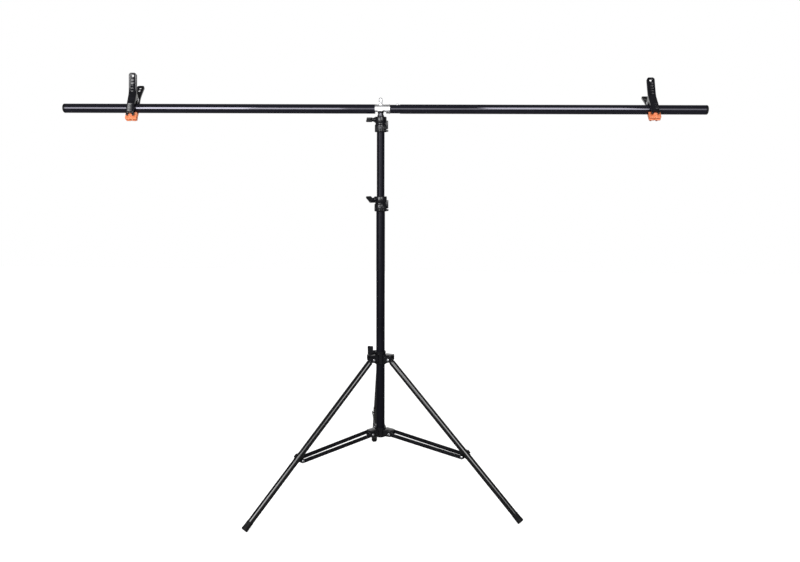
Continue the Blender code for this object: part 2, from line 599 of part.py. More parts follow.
def make_leg(index, azimuth, collar):
    """One leg. Local -Z runs down the leg, and local Y is the joint's axis."""
    angle = radians(azimuth)
    facing = (Matrix.Rotation(angle, 4, "Z") @ Matrix.Rotation(-SPREAD, 4, "Y")).to_euler()
    holder = empty(f"leg_{index}_hinge", collar,
                   (LEG_PIVOT_RADIUS * cos(angle), LEG_PIVOT_RADIUS * sin(angle), 0), facing)
    foot_seat = LEG_LENGTH - 0.25 * FOOT_LENGTH
    turned(f"leg_{index}", ring_profile(LEG_RADIUS, LEG_RADIUS - LEG_WALL, -LEG_TUBE_START, -foot_seat), holder,
           BLACK_TUBE, ring=True)

    knuckle = turned(f"leg_knuckle_{index}", ring_profile(KNUCKLE_RADIUS, PIN_RADIUS + FIT, KNUCKLE_WIDTH / 2,
                                                          -KNUCKLE_WIDTH / 2), holder, BLACK_PLASTIC,
                     rotation=ACROSS_Y, steps=SMALL_STEPS, ring=True)
    neck_top = PIN_RADIUS + 0.0012
    stem = [(0, -neck_top), (KNUCKLE_WIDTH / 2, -neck_top), (KNUCKLE_WIDTH / 2, -0.010),
            (LEG_RADIUS, -0.0125), (LEG_RADIUS, -LEG_TUBE_START + FIT),
            (LEG_RADIUS - LEG_WALL - FIT, -LEG_TUBE_START + FIT),
            (LEG_RADIUS - LEG_WALL - FIT, -LEG_TUBE_START - KNUCKLE_PLUG), (0, -LEG_TUBE_START - KNUCKLE_PLUG)]
    combine(knuckle, [turned(f"leg_stem_{index}", stem, holder, steps=TUBE_STEPS)], "UNION")

    inner = LEG_RADIUS + FIT
    foot = turned(f"foot_{index}", [(FOOT_RADIUS, FOOT_LENGTH - LEG_LENGTH), (FOOT_RADIUS, -LEG_LENGTH),
                                    (0, -LEG_LENGTH), (0, -foot_seat - FIT), (inner, -foot_seat - FIT),
                                    (inner, FOOT_LENGTH - LEG_LENGTH)], holder, RUBBER, ring=True)
    floor = box(f"floor_cut_{index}", (0.1, 0.1, 0.02), (0, 0, -0.01), stand,
                location=(FOOT_REACH * cos(angle), FOOT_REACH * sin(angle), 0))
    combine(foot, [floor], "DIFFERENCE")

    bracket = turned(f"leg_bracket_{index}",
                     ring_profile(BRACKET_RADIUS, inner, -BRACKET_ALONG_LEG + BRACKET_LENGTH / 2,
                                  -BRACKET_ALONG_LEG - BRACKET_LENGTH / 2), holder, BLACK_STEEL, ring=True)
    lug_end = BRACKET_OFFSET + BRACKET_LUG_END
    lug = box(f"bracket_lug_{index}", (lug_end - inner, BRACKET_LUG_WIDTH, BRACKET_LENGTH * 0.6),
              (-(lug_end + inner) / 2, 0, -BRACKET_ALONG_LEG), holder)
    stub = turned(f"bracket_pin_{index}", rod_profile(PIN_RADIUS, BRACKET_RADIUS, -BRACKET_RADIUS), holder,
                  location=(-BRACKET_OFFSET, 0, -BRACKET_ALONG_LEG), rotation=ACROSS_Y, steps=SMALL_STEPS)
    tube_room = turned(f"bracket_bore_{index}", rod_profile(inner, -BRACKET_ALONG_LEG + BRACKET_LENGTH,
                                                            -BRACKET_ALONG_LEG - BRACKET_LENGTH), holder)
    combine(bracket, [lug, stub], "UNION")
    combine(bracket, [tube_room], "DIFFERENCE")


def make_brace(index, azimuth):
    """A pair of flat strips, hinged on the hub. Local X runs out along the brace."""
    angle = radians(azimuth)
    turned(f"hub_pin_{index}", headed_pin_profile(PIN_RADIUS, HUB_PIN_HALF, PIN_HEAD_RADIUS, PIN_HEAD_HEIGHT), stand,
           BRIGHT_METAL, (HUB_PIVOT_RADIUS * cos(angle), HUB_PIVOT_RADIUS * sin(angle), HUB_HEIGHT),
           (pi / 2, 0, angle), SMALL_STEPS)
    facing = (Matrix.Rotation(angle, 4, "Z") @ Matrix.Rotation(-BRACE_PITCH, 4, "Y")).to_euler()
    holder = empty(f"brace_{index}_hinge", stand,
                   (HUB_PIVOT_RADIUS * cos(angle), HUB_PIVOT_RADIUS * sin(angle), HUB_HEIGHT), facing)
    half = BRACE_WIDTH / 2
    outline = arc(0, 0, half, 90, 270, 6) + arc(BRACE_LENGTH, 0, half, -90, 90, 6)
    hub_hole = circle(0, 0, PIN_RADIUS + 2 * FIT)
    leg_hole = circle(BRACE_LENGTH, 0, PIN_RADIUS + 2 * FIT)
    for side, label in ((1, "a"), (-1, "b")):
        plate(f"brace_{index}{label}", [outline, hub_hole, leg_hole], BRACE_THICKNESS, holder, BLACK_STEEL,
              (0, side * (BRACE_HUB_GAP + FIT + BRACE_THICKNESS / 2), 0),
              (Matrix.Rotation(-side * BRACE_TOE_IN, 4, "Z") @ Matrix.Rotation(pi / 2, 4, "X")).to_euler())


def make_column_top():
    """The middle and upper tubes with their clamp and spigot."""
    middle = empty("middle_tube_slide", stand, (0, 0, MIDDLE_TUBE_TOP))
    bore = MIDDLE_TUBE_RADIUS - COLUMN_WALL
    turned("middle_tube", ring_profile(MIDDLE_TUBE_RADIUS, bore, 0, -MIDDLE_TUBE_LENGTH), middle, BLACK_TUBE,
           ring=True)
    make_tube_clamp("upper_clamp", middle, 0, MIDDLE_TUBE_RADIUS, UPPER_TUBE_RADIUS, UPPER_CLAMP_WALL,
                    UPPER_KNOB_AZIMUTH, UPPER_KNOB_TURN)

    upper = empty("upper_tube_slide", middle, (0, 0, UPPER_TUBE_TOP - MIDDLE_TUBE_TOP))
    upper_bore = UPPER_TUBE_RADIUS - COLUMN_WALL
    turned("upper_tube", ring_profile(UPPER_TUBE_RADIUS, upper_bore, 0, -UPPER_TUBE_LENGTH), upper, BLACK_TUBE,
           ring=True)
    neck_top = FITTING_BASE - FIT - UPPER_TUBE_TOP
    stud_top = BAR_HEIGHT + CAP_NUT_BASE + STUD_IN_NUT - UPPER_TUBE_TOP
    shoulder = 0.0030
    spigot = [(0, stud_top), (STUD_RADIUS - 0.0008, stud_top), (STUD_RADIUS, stud_top - 0.0008),
              (STUD_RADIUS, neck_top), (NECK_RADIUS - 0.0008, neck_top), (NECK_RADIUS, neck_top - 0.0008),
              (NECK_RADIUS, FIT + shoulder), (UPPER_TUBE_RADIUS, FIT + shoulder - 0.0006), (UPPER_TUBE_RADIUS, FIT),
              (upper_bore - FIT, FIT), (upper_bore - FIT, -SPIGOT_PLUG), (0, -SPIGOT_PLUG)]
    turned("spigot", spigot, upper, BLACK_STEEL)
    return upper


def make_fitting(upper):
    """The T-fitting that swivels on the spigot, its stubs and its cap nut."""
    swivel = empty("t_fitting_swivel", upper, (0, 0, BAR_HEIGHT - UPPER_TUBE_TOP))
    bore = INNER_STUB_RADIUS - FITTING_STUB_WALL
    left_end = -FITTING_LEFT - FITTING_STUB
    right_end = FITTING_RIGHT + FITTING_STUB
    solid = FITTING_CORE_HALF
    profile = [(0, solid), (bore, solid), (bore, right_end), (INNER_STUB_RADIUS, right_end),
               (INNER_STUB_RADIUS, FITTING_RIGHT), (BAR_RADIUS, FITTING_RIGHT), (BAR_RADIUS, -FITTING_LEFT),
               (STUB_RADIUS, -FITTING_LEFT), (STUB_RADIUS, left_end), (bore, left_end), (bore, -solid), (0, -solid)]
    fitting = turned("t_fitting", profile, swivel, BRIGHT_METAL, rotation=ALONG_X)
    flange = turned("fitting_flange", [(0, FITTING_FLANGE_HEIGHT - FITTING_UNDERSIDE),
                                       (FITTING_FLANGE_RADIUS, FITTING_FLANGE_HEIGHT - FITTING_UNDERSIDE),
                                       (FITTING_FLANGE_RADIUS, -FITTING_UNDERSIDE), (0, -FITTING_UNDERSIDE)], swivel)
    middle = (FITTING_RIGHT - FITTING_LEFT) / 2
    flat = box("fitting_flat", (FITTING_LEFT + FITTING_RIGHT + 0.0002, 2 * BAR_DIAMETER, BAR_RADIUS),
               (middle, 0, FITTING_FLANGE_STEP - FITTING_UNDERSIDE - BAR_RADIUS / 2), swivel)
    stud_hole = turned("fitting_stud_hole", rod_profile(STUD_RADIUS + FIT, BAR_DIAMETER, -BAR_DIAMETER), swivel)
    top_flat = box("fitting_top_flat", (2 * CAP_NUT_RADIUS + 0.003, 2 * CAP_NUT_RADIUS + 0.003, 0.004),
                   (0, 0, BAR_RADIUS - FITTING_TOP_FLAT + 0.002), swivel)
    button_hole = turned("fitting_button_hole", rod_profile(BUTTON_RADIUS + 2 * FIT, BAR_DIAMETER, 0), swivel,
                         location=(BUTTON_PLACE, 0, 0), steps=SMALL_STEPS)
    combine(fitting, [flat, top_flat], "DIFFERENCE")
    combine(fitting, [flange], "UNION")
    combine(fitting, [stud_hole, button_hole], "DIFFERENCE")

    nut = empty("cap_nut_turn", swivel)
    turned("cap_nut", [(0, CAP_NUT_BASE + CAP_NUT_HEIGHT), (CAP_NUT_RADIUS * 0.62, CAP_NUT_BASE + CAP_NUT_HEIGHT),
                       (CAP_NUT_RADIUS, CAP_NUT_BASE + CAP_NUT_HEIGHT - 0.0035), (CAP_NUT_RADIUS, CAP_NUT_BASE),
                       (STUD_RADIUS + FIT, CAP_NUT_BASE), (STUD_RADIUS + FIT, CAP_NUT_BASE + STUD_IN_NUT + 2 * FIT),
                       (0, CAP_NUT_BASE + STUD_IN_NUT + 2 * FIT)], nut, BRIGHT_METAL, steps=SMALL_STEPS)

    sleeve = turned("coupling_sleeve", ring_profile(STUB_RADIUS, COUPLING_BORE, FITTING_RIGHT + FIT + COUPLING_LENGTH,
                                                    FITTING_RIGHT + FIT), swivel, BLACK_TUBE, rotation=ALONG_X,
                    ring=True)
    sleeve_hole = turned("sleeve_button_hole", rod_profile(BUTTON_RADIUS + FIT, BAR_DIAMETER, 0), swivel,
                         location=(BUTTON_PLACE, 0, 0), steps=SMALL_STEPS)
    combine(sleeve, [sleeve_hole], "DIFFERENCE")
    button = empty("snap_button_press", swivel, (BUTTON_PLACE, 0, STUB_RADIUS))
    turned("snap_button", [(0, BUTTON_HEIGHT), (BUTTON_RADIUS * 0.55, BUTTON_HEIGHT * 0.92),
                           (BUTTON_RADIUS * 0.9, BUTTON_HEIGHT * 0.55), (BUTTON_RADIUS, 0),
                           (BUTTON_RADIUS, -COUPLING_WALL - FITTING_STUB_WALL - 0.001),
                           (0, -COUPLING_WALL - FITTING_STUB_WALL - 0.001)], button, BRIGHT_METAL, steps=SMALL_STEPS)
    return swivel


def make_arm(label, swivel, side, start):
    """One arm of the crossbar with its end cap, pulled off along X."""
    holder = empty(f"{label}_arm_pull", swivel)
    tube_end = BAR_LENGTH / 2 - BAR_CAP_LIP
    turn = (0, side * pi / 2, 0)
    turned(f"crossbar_{label}", ring_profile(BAR_RADIUS, BAR_BORE, tube_end, start + FIT), holder, BLACK_TUBE,
           rotation=turn, ring=True)
    end = BAR_LENGTH / 2
    turned(f"bar_cap_{label}", [(0, end), (BAR_RADIUS - BAR_CAP_ROUND, end),
                                (BAR_RADIUS - 0.3 * BAR_CAP_ROUND, end - 0.3 * BAR_CAP_ROUND),
                                (BAR_RADIUS, end - BAR_CAP_ROUND), (BAR_RADIUS, tube_end + FIT),
                                (BAR_BORE - FIT, tube_end + FIT), (BAR_BORE - FIT, tube_end - BAR_CAP_PLUG),
                                (0, tube_end - BAR_CAP_PLUG)], holder, BLACK_PLASTIC, rotation=turn)
    return holder


def ribbon(centres, half):
    """Outline of a bent strip: the centre points moved out to both sides."""
    left = []
    right = []
    for index, point in enumerate(centres):
        before = centres[max(index - 1, 0)]
        after = centres[min(index + 1, len(centres) - 1)]
        run = (Vector(after) - Vector(before)).normalized()
        left.append((point[0] - half * run.y, point[1] + half * run.x))
        right.append((point[0] + half * run.y, point[1] - half * run.x))
    return left + right[::-1]


def lever_centres():
    """Centre line of the front lever in the clamp's (Y, Z), from handle to jaw tip."""
    splay = radians(HANDLE_SPLAY)
    along = Vector((-sin(splay), cos(splay)))
    outward = Vector((-cos(splay), -sin(splay)))
    pivot = Vector((0, JAW_PIVOT_HEIGHT))
    round_bar = BAR_RADIUS + JAW_BAR_GAP + JAW_THICKNESS / 2
    tip_z = -(BAR_RADIUS + PAD_TOP_DROP + PAD_HEIGHT / 2)
    tip_y = -(PAD_GAP / 2 + PAD_THICKNESS + PAD_BOSS_SETBACK + JAW_THICKNESS / 2)
    points = [pivot + along * HANDLE_LENGTH + outward * JAW_PIVOT_OFFSET * 1.15,
              pivot + along * HANDLE_LENGTH * 0.62 + outward * JAW_PIVOT_OFFSET,
              pivot + along * HANDLE_LENGTH * 0.24 + outward * JAW_PIVOT_OFFSET,
              Vector((-round_bar * 0.94, JAW_PIVOT_HEIGHT * 0.72)),
              Vector((-round_bar, JAW_PIVOT_HEIGHT * 0.10)),
              Vector((-round_bar * 0.95, tip_z * 0.42)),
              Vector((tip_y * 1.12, tip_z * 0.86)),
              Vector((tip_y, tip_z * 1.12))]
    return [tuple(point) for point in points]


def make_spring_clamp(label, swivel_arm, place, lean):
    """A spring clamp over the bar. Local X is the bar's axis; the handles lean back."""
    clamp = empty(f"clamp_{label}_slide", swivel_arm, (place, 0, 0), (radians(-lean), 0, 0))
    rear = empty(f"clamp_{label}_jaw_hinge", clamp, (0, 0, JAW_PIVOT_HEIGHT))
    ear_outer = JAW_WIDTH / 2 - FIT - JAW_PIN_HEAD_HEIGHT / 2
    ear_inner = ear_outer - JAW_EAR_THICKNESS - JAW_EAR_GAP
    centres = lever_centres()
    pad_z = -(BAR_RADIUS + PAD_TOP_DROP + PAD_HEIGHT / 2)
    boss_y = -(PAD_GAP / 2 + PAD_THICKNESS + PAD_BOSS_SETBACK)
    splay = radians(HANDLE_SPLAY)
    hole_run = HANDLE_LENGTH - HANDLE_HOLE_SETBACK
    for name, parent, lift, flip, ear_face in (("front", clamp, 0.0, 1, ear_outer),
                                               ("rear", rear, -JAW_PIVOT_HEIGHT, -1, ear_inner)):
        lying = (pi / 2, 0, pi / 2)
        outline = [(flip * y, z + lift) for y, z in ribbon(centres, JAW_THICKNESS / 2)]
        lever = plate(f"clamp_{label}_{name}_lever", [outline], JAW_WIDTH, parent, BLACK_PLASTIC, rotation=lying,
                      smooth=True)
        web = JAW_THICKNESS / 2
        ear = [(flip * y, z + lift) for y, z in
               arc(0, JAW_PIVOT_HEIGHT, JAW_EAR_RADIUS, 100, -100, 8)
               + [(centres[3][0] + web * 0.4, JAW_PIVOT_HEIGHT - 0.010), (centres[2][0] + web * 0.4,
                                                                          JAW_PIVOT_HEIGHT + 0.009)]]
        ears = []
        for side in (-1, 1):
            ears.append(plate(f"{name}_ear_{label}_{side}", [ear], JAW_EAR_THICKNESS, parent,
                              location=(side * (ear_face - JAW_EAR_THICKNESS / 2), 0, 0), rotation=lying))
        pin_hole = turned(f"{name}_pin_hole_{label}", rod_profile(JAW_PIN_RADIUS + FIT, JAW_WIDTH, -JAW_WIDTH), parent,
                          location=(0, 0, JAW_PIVOT_HEIGHT + lift), rotation=ALONG_X, steps=SMALL_STEPS)
        groove = turned(f"{name}_pad_groove_{label}",
                        rod_profile(PAD_BOSS_RADIUS + FIT, PAD_BOSS_WIDTH / 2 + FIT, -PAD_BOSS_WIDTH / 2 - FIT),
                        parent, location=(0, flip * boss_y, pad_z + lift), rotation=ALONG_X, steps=SMALL_STEPS)
        hang = turned(f"{name}_handle_hole_{label}", rod_profile(HANDLE_HOLE_RADIUS, 0.03, -0.03), parent,
                      location=(0, flip * (-sin(splay) * hole_run - cos(splay) * JAW_PIVOT_OFFSET),
                                JAW_PIVOT_HEIGHT + lift + cos(splay) * hole_run - sin(splay) * JAW_PIVOT_OFFSET),
                      rotation=(pi / 2 + flip * splay, 0, 0), steps=SMALL_STEPS)
        combine(lever, ears, "UNION")
        combine(lever, [pin_hole, groove, hang], "DIFFERENCE")

        swing = empty(f"clamp_{label}_{name}_pad_rock", parent, (0, flip * boss_y, pad_z + lift))
        pad = box(f"clamp_{label}_{name}_pad", (PAD_WIDTH, PAD_THICKNESS, PAD_HEIGHT),
                  (0, flip * (PAD_BOSS_SETBACK + PAD_THICKNESS / 2), 0), swing, ORANGE_PAD)
        bevel = pad.modifiers.new("round", "BEVEL")
        bevel.width = PAD_ROUND
        bevel.segments = 2
        boss = turned(f"{name}_pad_boss_{label}", rod_profile(PAD_BOSS_RADIUS, PAD_BOSS_WIDTH / 2,
                                                              -PAD_BOSS_WIDTH / 2), swing, rotation=ALONG_X,
                      steps=SMALL_STEPS)
        combine(pad, [boss], "UNION")

    pin_half = ear_outer + FIT
    turned(f"clamp_{label}_pin", headed_pin_profile(JAW_PIN_RADIUS, pin_half, JAW_PIN_HEAD_RADIUS,
                                                    JAW_PIN_HEAD_HEIGHT), clamp, BRIGHT_METAL,
           (0, 0, JAW_PIVOT_HEIGHT), ALONG_X, SMALL_STEPS)
    coil = JAW_PIN_RADIUS + FIT + SPRING_WIRE_RADIUS
    span = (SPRING_TURNS + 0.5) * SPRING_PITCH
    points = [(-span / 2, -coil, JAW_PIVOT_HEIGHT + SPRING_LEG)]
    steps = SPRING_TURNS * SPRING_STEPS + SPRING_STEPS // 2
    for step in range(steps + 1):
        angle = pi - 2 * pi * step / SPRING_STEPS
        points.append((-span / 2 + span * step / steps, coil * cos(angle), JAW_PIVOT_HEIGHT - coil * sin(angle)))
    points.append((span / 2, coil, JAW_PIVOT_HEIGHT + SPRING_LEG))
    wire(f"clamp_{label}_spring", points, SPRING_WIRE_RADIUS, clamp, BRIGHT_METAL)
    print(f"clamp_{label}_spring: least gap between turns {1000 * least_gap(points, SPRING_WIRE_RADIUS):.2f} mm")


make_bottom_section()
make_lower_hub()
leg_collar = make_leg_collar()
for number, leg_azimuth in enumerate(LEG_AZIMUTHS, 1):
    make_leg(number, leg_azimuth, leg_collar)
    make_brace(number, leg_azimuth)
upper_section = make_column_top()
t_swivel = make_fitting(upper_section)
arms = {"left": make_arm("left", t_swivel, -1, FITTING_LEFT), "right": make_arm("right", t_swivel, 1, RIGHT_ARM_START)}
for clamp_label, clamp_place, clamp_lean in SPRING_CLAMPS:
    make_spring_clamp(clamp_label, arms[clamp_label], clamp_place, clamp_lean)
bpy.context.view_layer.update()
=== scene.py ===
"""Backdrop stand in a plain pale studio: folding tripod, telescopic column,
swivelling T-fitting, two-part crossbar and two spring clamps.

Metres, +Z up, +X along the crossbar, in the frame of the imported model.
"""
import json
from math import cos, pi, radians, sin

import bmesh
import bpy
from mathutils import Matrix, Vector


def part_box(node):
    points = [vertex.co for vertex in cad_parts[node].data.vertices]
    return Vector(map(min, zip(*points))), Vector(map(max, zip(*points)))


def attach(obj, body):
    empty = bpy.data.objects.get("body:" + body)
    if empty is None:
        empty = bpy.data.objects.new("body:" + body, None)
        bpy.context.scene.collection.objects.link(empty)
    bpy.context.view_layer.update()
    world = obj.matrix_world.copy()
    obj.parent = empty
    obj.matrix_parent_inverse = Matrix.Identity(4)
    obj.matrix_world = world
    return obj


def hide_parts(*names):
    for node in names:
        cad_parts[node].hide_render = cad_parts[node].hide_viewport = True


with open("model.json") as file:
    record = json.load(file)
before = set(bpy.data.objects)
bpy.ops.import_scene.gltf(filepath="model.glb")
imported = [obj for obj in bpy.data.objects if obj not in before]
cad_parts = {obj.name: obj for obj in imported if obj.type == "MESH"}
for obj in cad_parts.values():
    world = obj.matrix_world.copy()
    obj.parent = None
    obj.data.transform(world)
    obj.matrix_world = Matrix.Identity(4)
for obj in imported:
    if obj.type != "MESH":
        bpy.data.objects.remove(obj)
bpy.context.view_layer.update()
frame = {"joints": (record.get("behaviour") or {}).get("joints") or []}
joints = {joint["name"]: joint for joint in frame["joints"]}

UP = Vector((0, 0, 1))
ACROSS = Vector((1, 0, 0))

# Sizes that the CAD model gives
FIT = 0.0003
BAR_RADIUS = 0.0144
BAR_WALL = 0.0008
SLEEVE_WALL = 0.0012
SLEEVE_LENGTH = 0.0850
FITTING_LEFT = 0.0173
FITTING_RIGHT = 0.0293
FITTING_BELOW = 0.0083
BOTTOM_RADIUS = 0.0140
MIDDLE_RADIUS = 0.01225
UPPER_RADIUS = 0.0105
COLUMN_WALL = 0.0012
MIDDLE_LENGTH = 0.615
UPPER_LENGTH = 0.560
CLAMP_BELOW = 0.0285
CLAMP_ABOVE = 0.0185
LEG_RADIUS = 0.00975
LEG_WALL = 0.0010
LEG_LENGTH = 0.649
LEG_SPREAD = radians(44.5)
LEG_AZIMUTHS = [radians(216.5 + 120 * index) for index in range(3)]
PIVOT_RADIUS = 0.0330
COLLAR_RADIUS = 0.0175
EAR_WIDTH = 0.0268
EYE_HALF = 0.0086
PIN_HOLE = 0.0028
HUB_RADIUS = 0.0191
HUB_PIVOT_RADIUS = 0.0400
HUB_LUG_WIDTH = 0.0310
BRACE_LENGTH = 0.2563849
BRACE_PITCH = radians(-7.928)
STRIP_THICKNESS = 0.0020
BRACKET_DOWN = 0.3850
BRACKET_ROOM = 0.0024
CHEEK_THICKNESS = 0.0024
BRACKET_IN = 0.0125
BUTTON_PLACE = 0.0518
JAW_PIVOT_HEIGHT = 0.0310
HANDLE_LENGTH = 0.0815
SPLAY = radians(18)
LEVER_HALF = 0.0035
LEVER_EAR = 0.0032
PAD_WIDTH = 0.0360
PAD_HEIGHT = 0.0250
PAD_THICKNESS = 0.0060
PAD_BACK = 0.0026
PAD_OUT = 0.0096
PAD_DROP = 0.0293
BAR_HEIGHT = 1.2646044

# Sizes that the photograph gives more closely
JAW_WIDTH = 0.0248
STRIP_HALF = 0.0064
FOOT_WALL = 0.0004
BRACKET_WALL = 0.0008

COLUMN = Vector(joints["t_fitting_swivel"]["pos_m"])
PIVOT_HEIGHT = joints["leg_1_hinge"]["pos_m"][2]
HUB_HEIGHT = joints["brace_1_hinge"]["pos_m"][2]
BOTTOM_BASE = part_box("bottom_tube")[0].z
BOTTOM_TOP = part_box("bottom_tube")[1].z
MIDDLE_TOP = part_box("middle_tube")[1].z
MIDDLE_BASE = MIDDLE_TOP - MIDDLE_LENGTH
UPPER_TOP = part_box("upper_tube")[1].z
UPPER_BASE = UPPER_TOP - UPPER_LENGTH
SMOOTH_BELOW = radians(32)


# Helpers for shaping

def deselect_all():
    if bpy.context.object and bpy.context.object.mode != "OBJECT":
        bpy.ops.object.mode_set(mode="OBJECT")
    bpy.ops.object.select_all(action="DESELECT")


def shape_of(name):
    """Take the new primitive into edit mode under its name."""
    shape = bpy.context.object
    shape.name = name
    shape.data.name = name
    bpy.ops.object.mode_set(mode="EDIT")
    bpy.ops.mesh.select_mode(type="VERT")
    bpy.ops.mesh.select_all(action="SELECT")
    return shape


def pick_verts(test):
    """In edit mode, select only the verts that pass a test."""
    bpy.ops.mesh.select_mode(type="VERT")
    bpy.ops.mesh.select_all(action="DESELECT")
    form = bmesh.from_edit_mesh(bpy.context.object.data)
    for vert in form.verts:
        if test(vert):
            vert.select_set(True)
    form.select_flush_mode()
    bmesh.update_edit_mesh(bpy.context.object.data)


def merge_and_face_out(shape):
    """Merge doubles closer than 0.01 mm and turn the faces outwards."""
    bpy.ops.object.mode_set(mode="EDIT")
    bpy.ops.mesh.select_all(action="SELECT")
    bpy.ops.mesh.remove_doubles(threshold=0.00001)
    bpy.ops.mesh.normals_make_consistent(inside=False)
    bpy.ops.object.mode_set(mode="OBJECT")
    return shape


def apply_modifier(shape, name, kind, **settings):
    """Add a modifier with its settings and apply it."""
    bpy.ops.object.select_all(action="DESELECT")
    shape.select_set(True)
    bpy.context.view_layer.objects.active = shape
    modifier = shape.modifiers.new(name, kind)
    for key, value in settings.items():
        setattr(modifier, key, value)
    bpy.ops.object.modifier_apply(modifier=name)


def turned(name, rings, segments=64, through=False):
    """A round form about Z: a circle extruded and resized from ring to ring of (radius, height). A form
    that is bored through joins its last ring to its first."""
    deselect_all()
    radius, height = rings[0]
    bpy.ops.mesh.primitive_circle_add(vertices=segments, radius=radius, location=(0, 0, height))
    bpy.ops.object.transform_apply(location=True, rotation=True, scale=True)
    shape = shape_of(name)
    for (radius, height), (next_radius, next_height) in zip(rings, rings[1:]):
        bpy.ops.mesh.extrude_edges_move(TRANSFORM_OT_translate={"value": (0, 0, next_height - height)})
        scale = next_radius / radius
        bpy.ops.transform.resize(value=(scale, scale, 1), center_override=(0, 0, next_height))
    last = segments * (len(rings) - 1)
    if through:
        pick_verts(lambda vert: vert.index < segments or vert.index >= last)
        bpy.ops.mesh.bridge_edge_loops()
    else:
        bpy.ops.mesh.edge_face_add()
        pick_verts(lambda vert: vert.index < segments)
        bpy.ops.mesh.edge_face_add()
    return merge_and_face_out(shape)


def peg(name, radius, low, high, segments=32):
    """A plain round form about Z: a peg, or what a bore takes away."""
    return turned(name, [(radius, low), (radius, high)], segments)


def plate(name, outline, thickness, edge=0.0, bevel_steps=2):
    """A flat form in XY, as thick along Z: its outline is drawn from vertex to vertex, filled and
    extruded."""
    deselect_all()
    bpy.ops.mesh.primitive_plane_add(size=0.001)
    shape = shape_of(name)
    bpy.ops.mesh.merge(type="CENTER")
    place = Vector((0, 0, 0))
    for x, y in outline:
        target = Vector((x, y, -thickness / 2))
        if place.length == 0:
            bpy.ops.transform.translate(value=target)
        else:
            bpy.ops.mesh.extrude_region_move(TRANSFORM_OT_translate={"value": target - place})
        place = target
    bpy.ops.mesh.select_all(action="SELECT")
    bpy.ops.mesh.edge_face_add()
    bpy.ops.mesh.extrude_region_move(TRANSFORM_OT_translate={"value": (0, 0, thickness)})
    merge_and_face_out(shape)
    if edge:
        soften(shape, edge, bevel_steps)
    return shape


def soften(shape, edge, steps=2, angle=32):
    """Round the sharp edges of a moulded or cast piece."""
    apply_modifier(shape, "edge_round", "BEVEL", width=edge, segments=steps, limit_method="ANGLE",
                   angle_limit=radians(angle), use_clamp_overlap=True)
    return shape


def block(name, size, centre, edge=0.0, steps=2):
    """A cube stretched to a block, with eased edges."""
    deselect_all()
    bpy.ops.mesh.primitive_cube_add(size=1, location=centre, scale=size)
    bpy.ops.object.transform_apply(location=True, rotation=True, scale=True)
    shape = bpy.context.object
    shape.name = name
    shape.data.name = name
    if edge:
        soften(shape, edge, steps)
    return shape


def cut(shape, tools, operation="DIFFERENCE"):
    """Cut or unite with other forms, which are used up."""
    for tool in tools:
        apply_modifier(shape, "cut", "BOOLEAN", operation=operation, solver="EXACT", object=tool)
        bpy.data.objects.remove(tool, do_unlink=True)
    return merge_and_face_out(shape)


def moved(shape, matrix):
    """Move a form, and keep its place in its mesh and its object at the origin."""
    deselect_all()
    shape.select_set(True)
    bpy.context.view_layer.objects.active = shape
    shape.matrix_world = matrix
    bpy.ops.object.transform_apply(location=True, rotation=True, scale=True)
    return shape


def copy_of(shape, name):
    """A copy with its own mesh."""
    twin = shape.copy()
    twin.data = shape.data.copy()
    twin.name = name
    twin.data.name = name
    bpy.context.scene.collection.objects.link(twin)
    return twin


def discard(shape):
    bpy.data.objects.remove(shape, do_unlink=True)


def turn(angle, axis):
    return Matrix.Rotation(angle, 4, axis)


def rounded(corners):
    """An outline of (x, y, cut-back) corners, each rounded in five steps from its cut-backs."""
    outline = []
    for index, (x, y, setback) in enumerate(corners):
        corner = Vector((x, y))
        before = Vector(corners[index - 1][:2]) - corner
        after = Vector(corners[(index + 1) % len(corners)][:2]) - corner
        start = corner + before.normalized() * setback
        end = corner + after.normalized() * setback
        count = 5 if setback else 0
        for step in range(count + 1):
            share = step / max(count, 1)
            outline.append(tuple(start.lerp(corner, share).lerp(corner.lerp(end, share), share)))
    return outline


def curved(points, steps):
    """Points on the smooth curve through a few places."""
    places = [points[0] * 2 - points[1], *points, points[-1] * 2 - points[-2]]
    curve = []
    for before, near, far, after in zip(places, places[1:], places[2:], places[3:]):
        for step in range(steps):
            share = step / steps
            curve.append(0.5 * (2 * near + (far - before) * share + (2 * before - 5 * near + 4 * far
                                                                     - after) * share ** 2
                                + (3 * near - before - 3 * far + after) * share ** 3))
    return curve + [points[-1]]


def shift(x=0.0, y=0.0, z=0.0):
    return Matrix.Translation((x, y, z))


def finish(piece, finish_material, body, slot, *nodes):
    """Shade a piece, give it its finish and let it ride on its body, in place of its CAD nodes."""
    bpy.ops.object.select_all(action="DESELECT")
    piece.select_set(True)
    bpy.context.view_layer.objects.active = piece
    bpy.ops.object.shade_smooth_by_angle(angle=SMOOTH_BELOW)
    piece.data.materials.clear()
    piece.data.materials.append(finish_material)
    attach(piece, body)
    if nodes:
        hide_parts(*nodes)


# Helpers for finishes

def srgb(hex_colour):
    """Linear RGBA of an sRGB hex colour."""
    channels = [int(hex_colour[place:place + 2], 16) / 255 for place in (0, 2, 4)]
    return (*[c / 12.92 if c <= 0.04045 else ((c + 0.055) / 1.055) ** 2.4 for c in channels], 1.0)


def add_node(tree, kind, settings=(), links=()):
    """Add a node. Settings and links are pairs of a key and a value or a socket. A key is an input's
    name or place, or a property's name."""
    node = tree.nodes.new(kind)
    for key, value in settings:
        if isinstance(key, int) or (key in node.inputs and not hasattr(node, key)):
            node.inputs[key].default_value = value
        else:
            setattr(node, key, value)
    for key, socket in links:
        tree.links.new(socket, node.inputs[key])
    return node


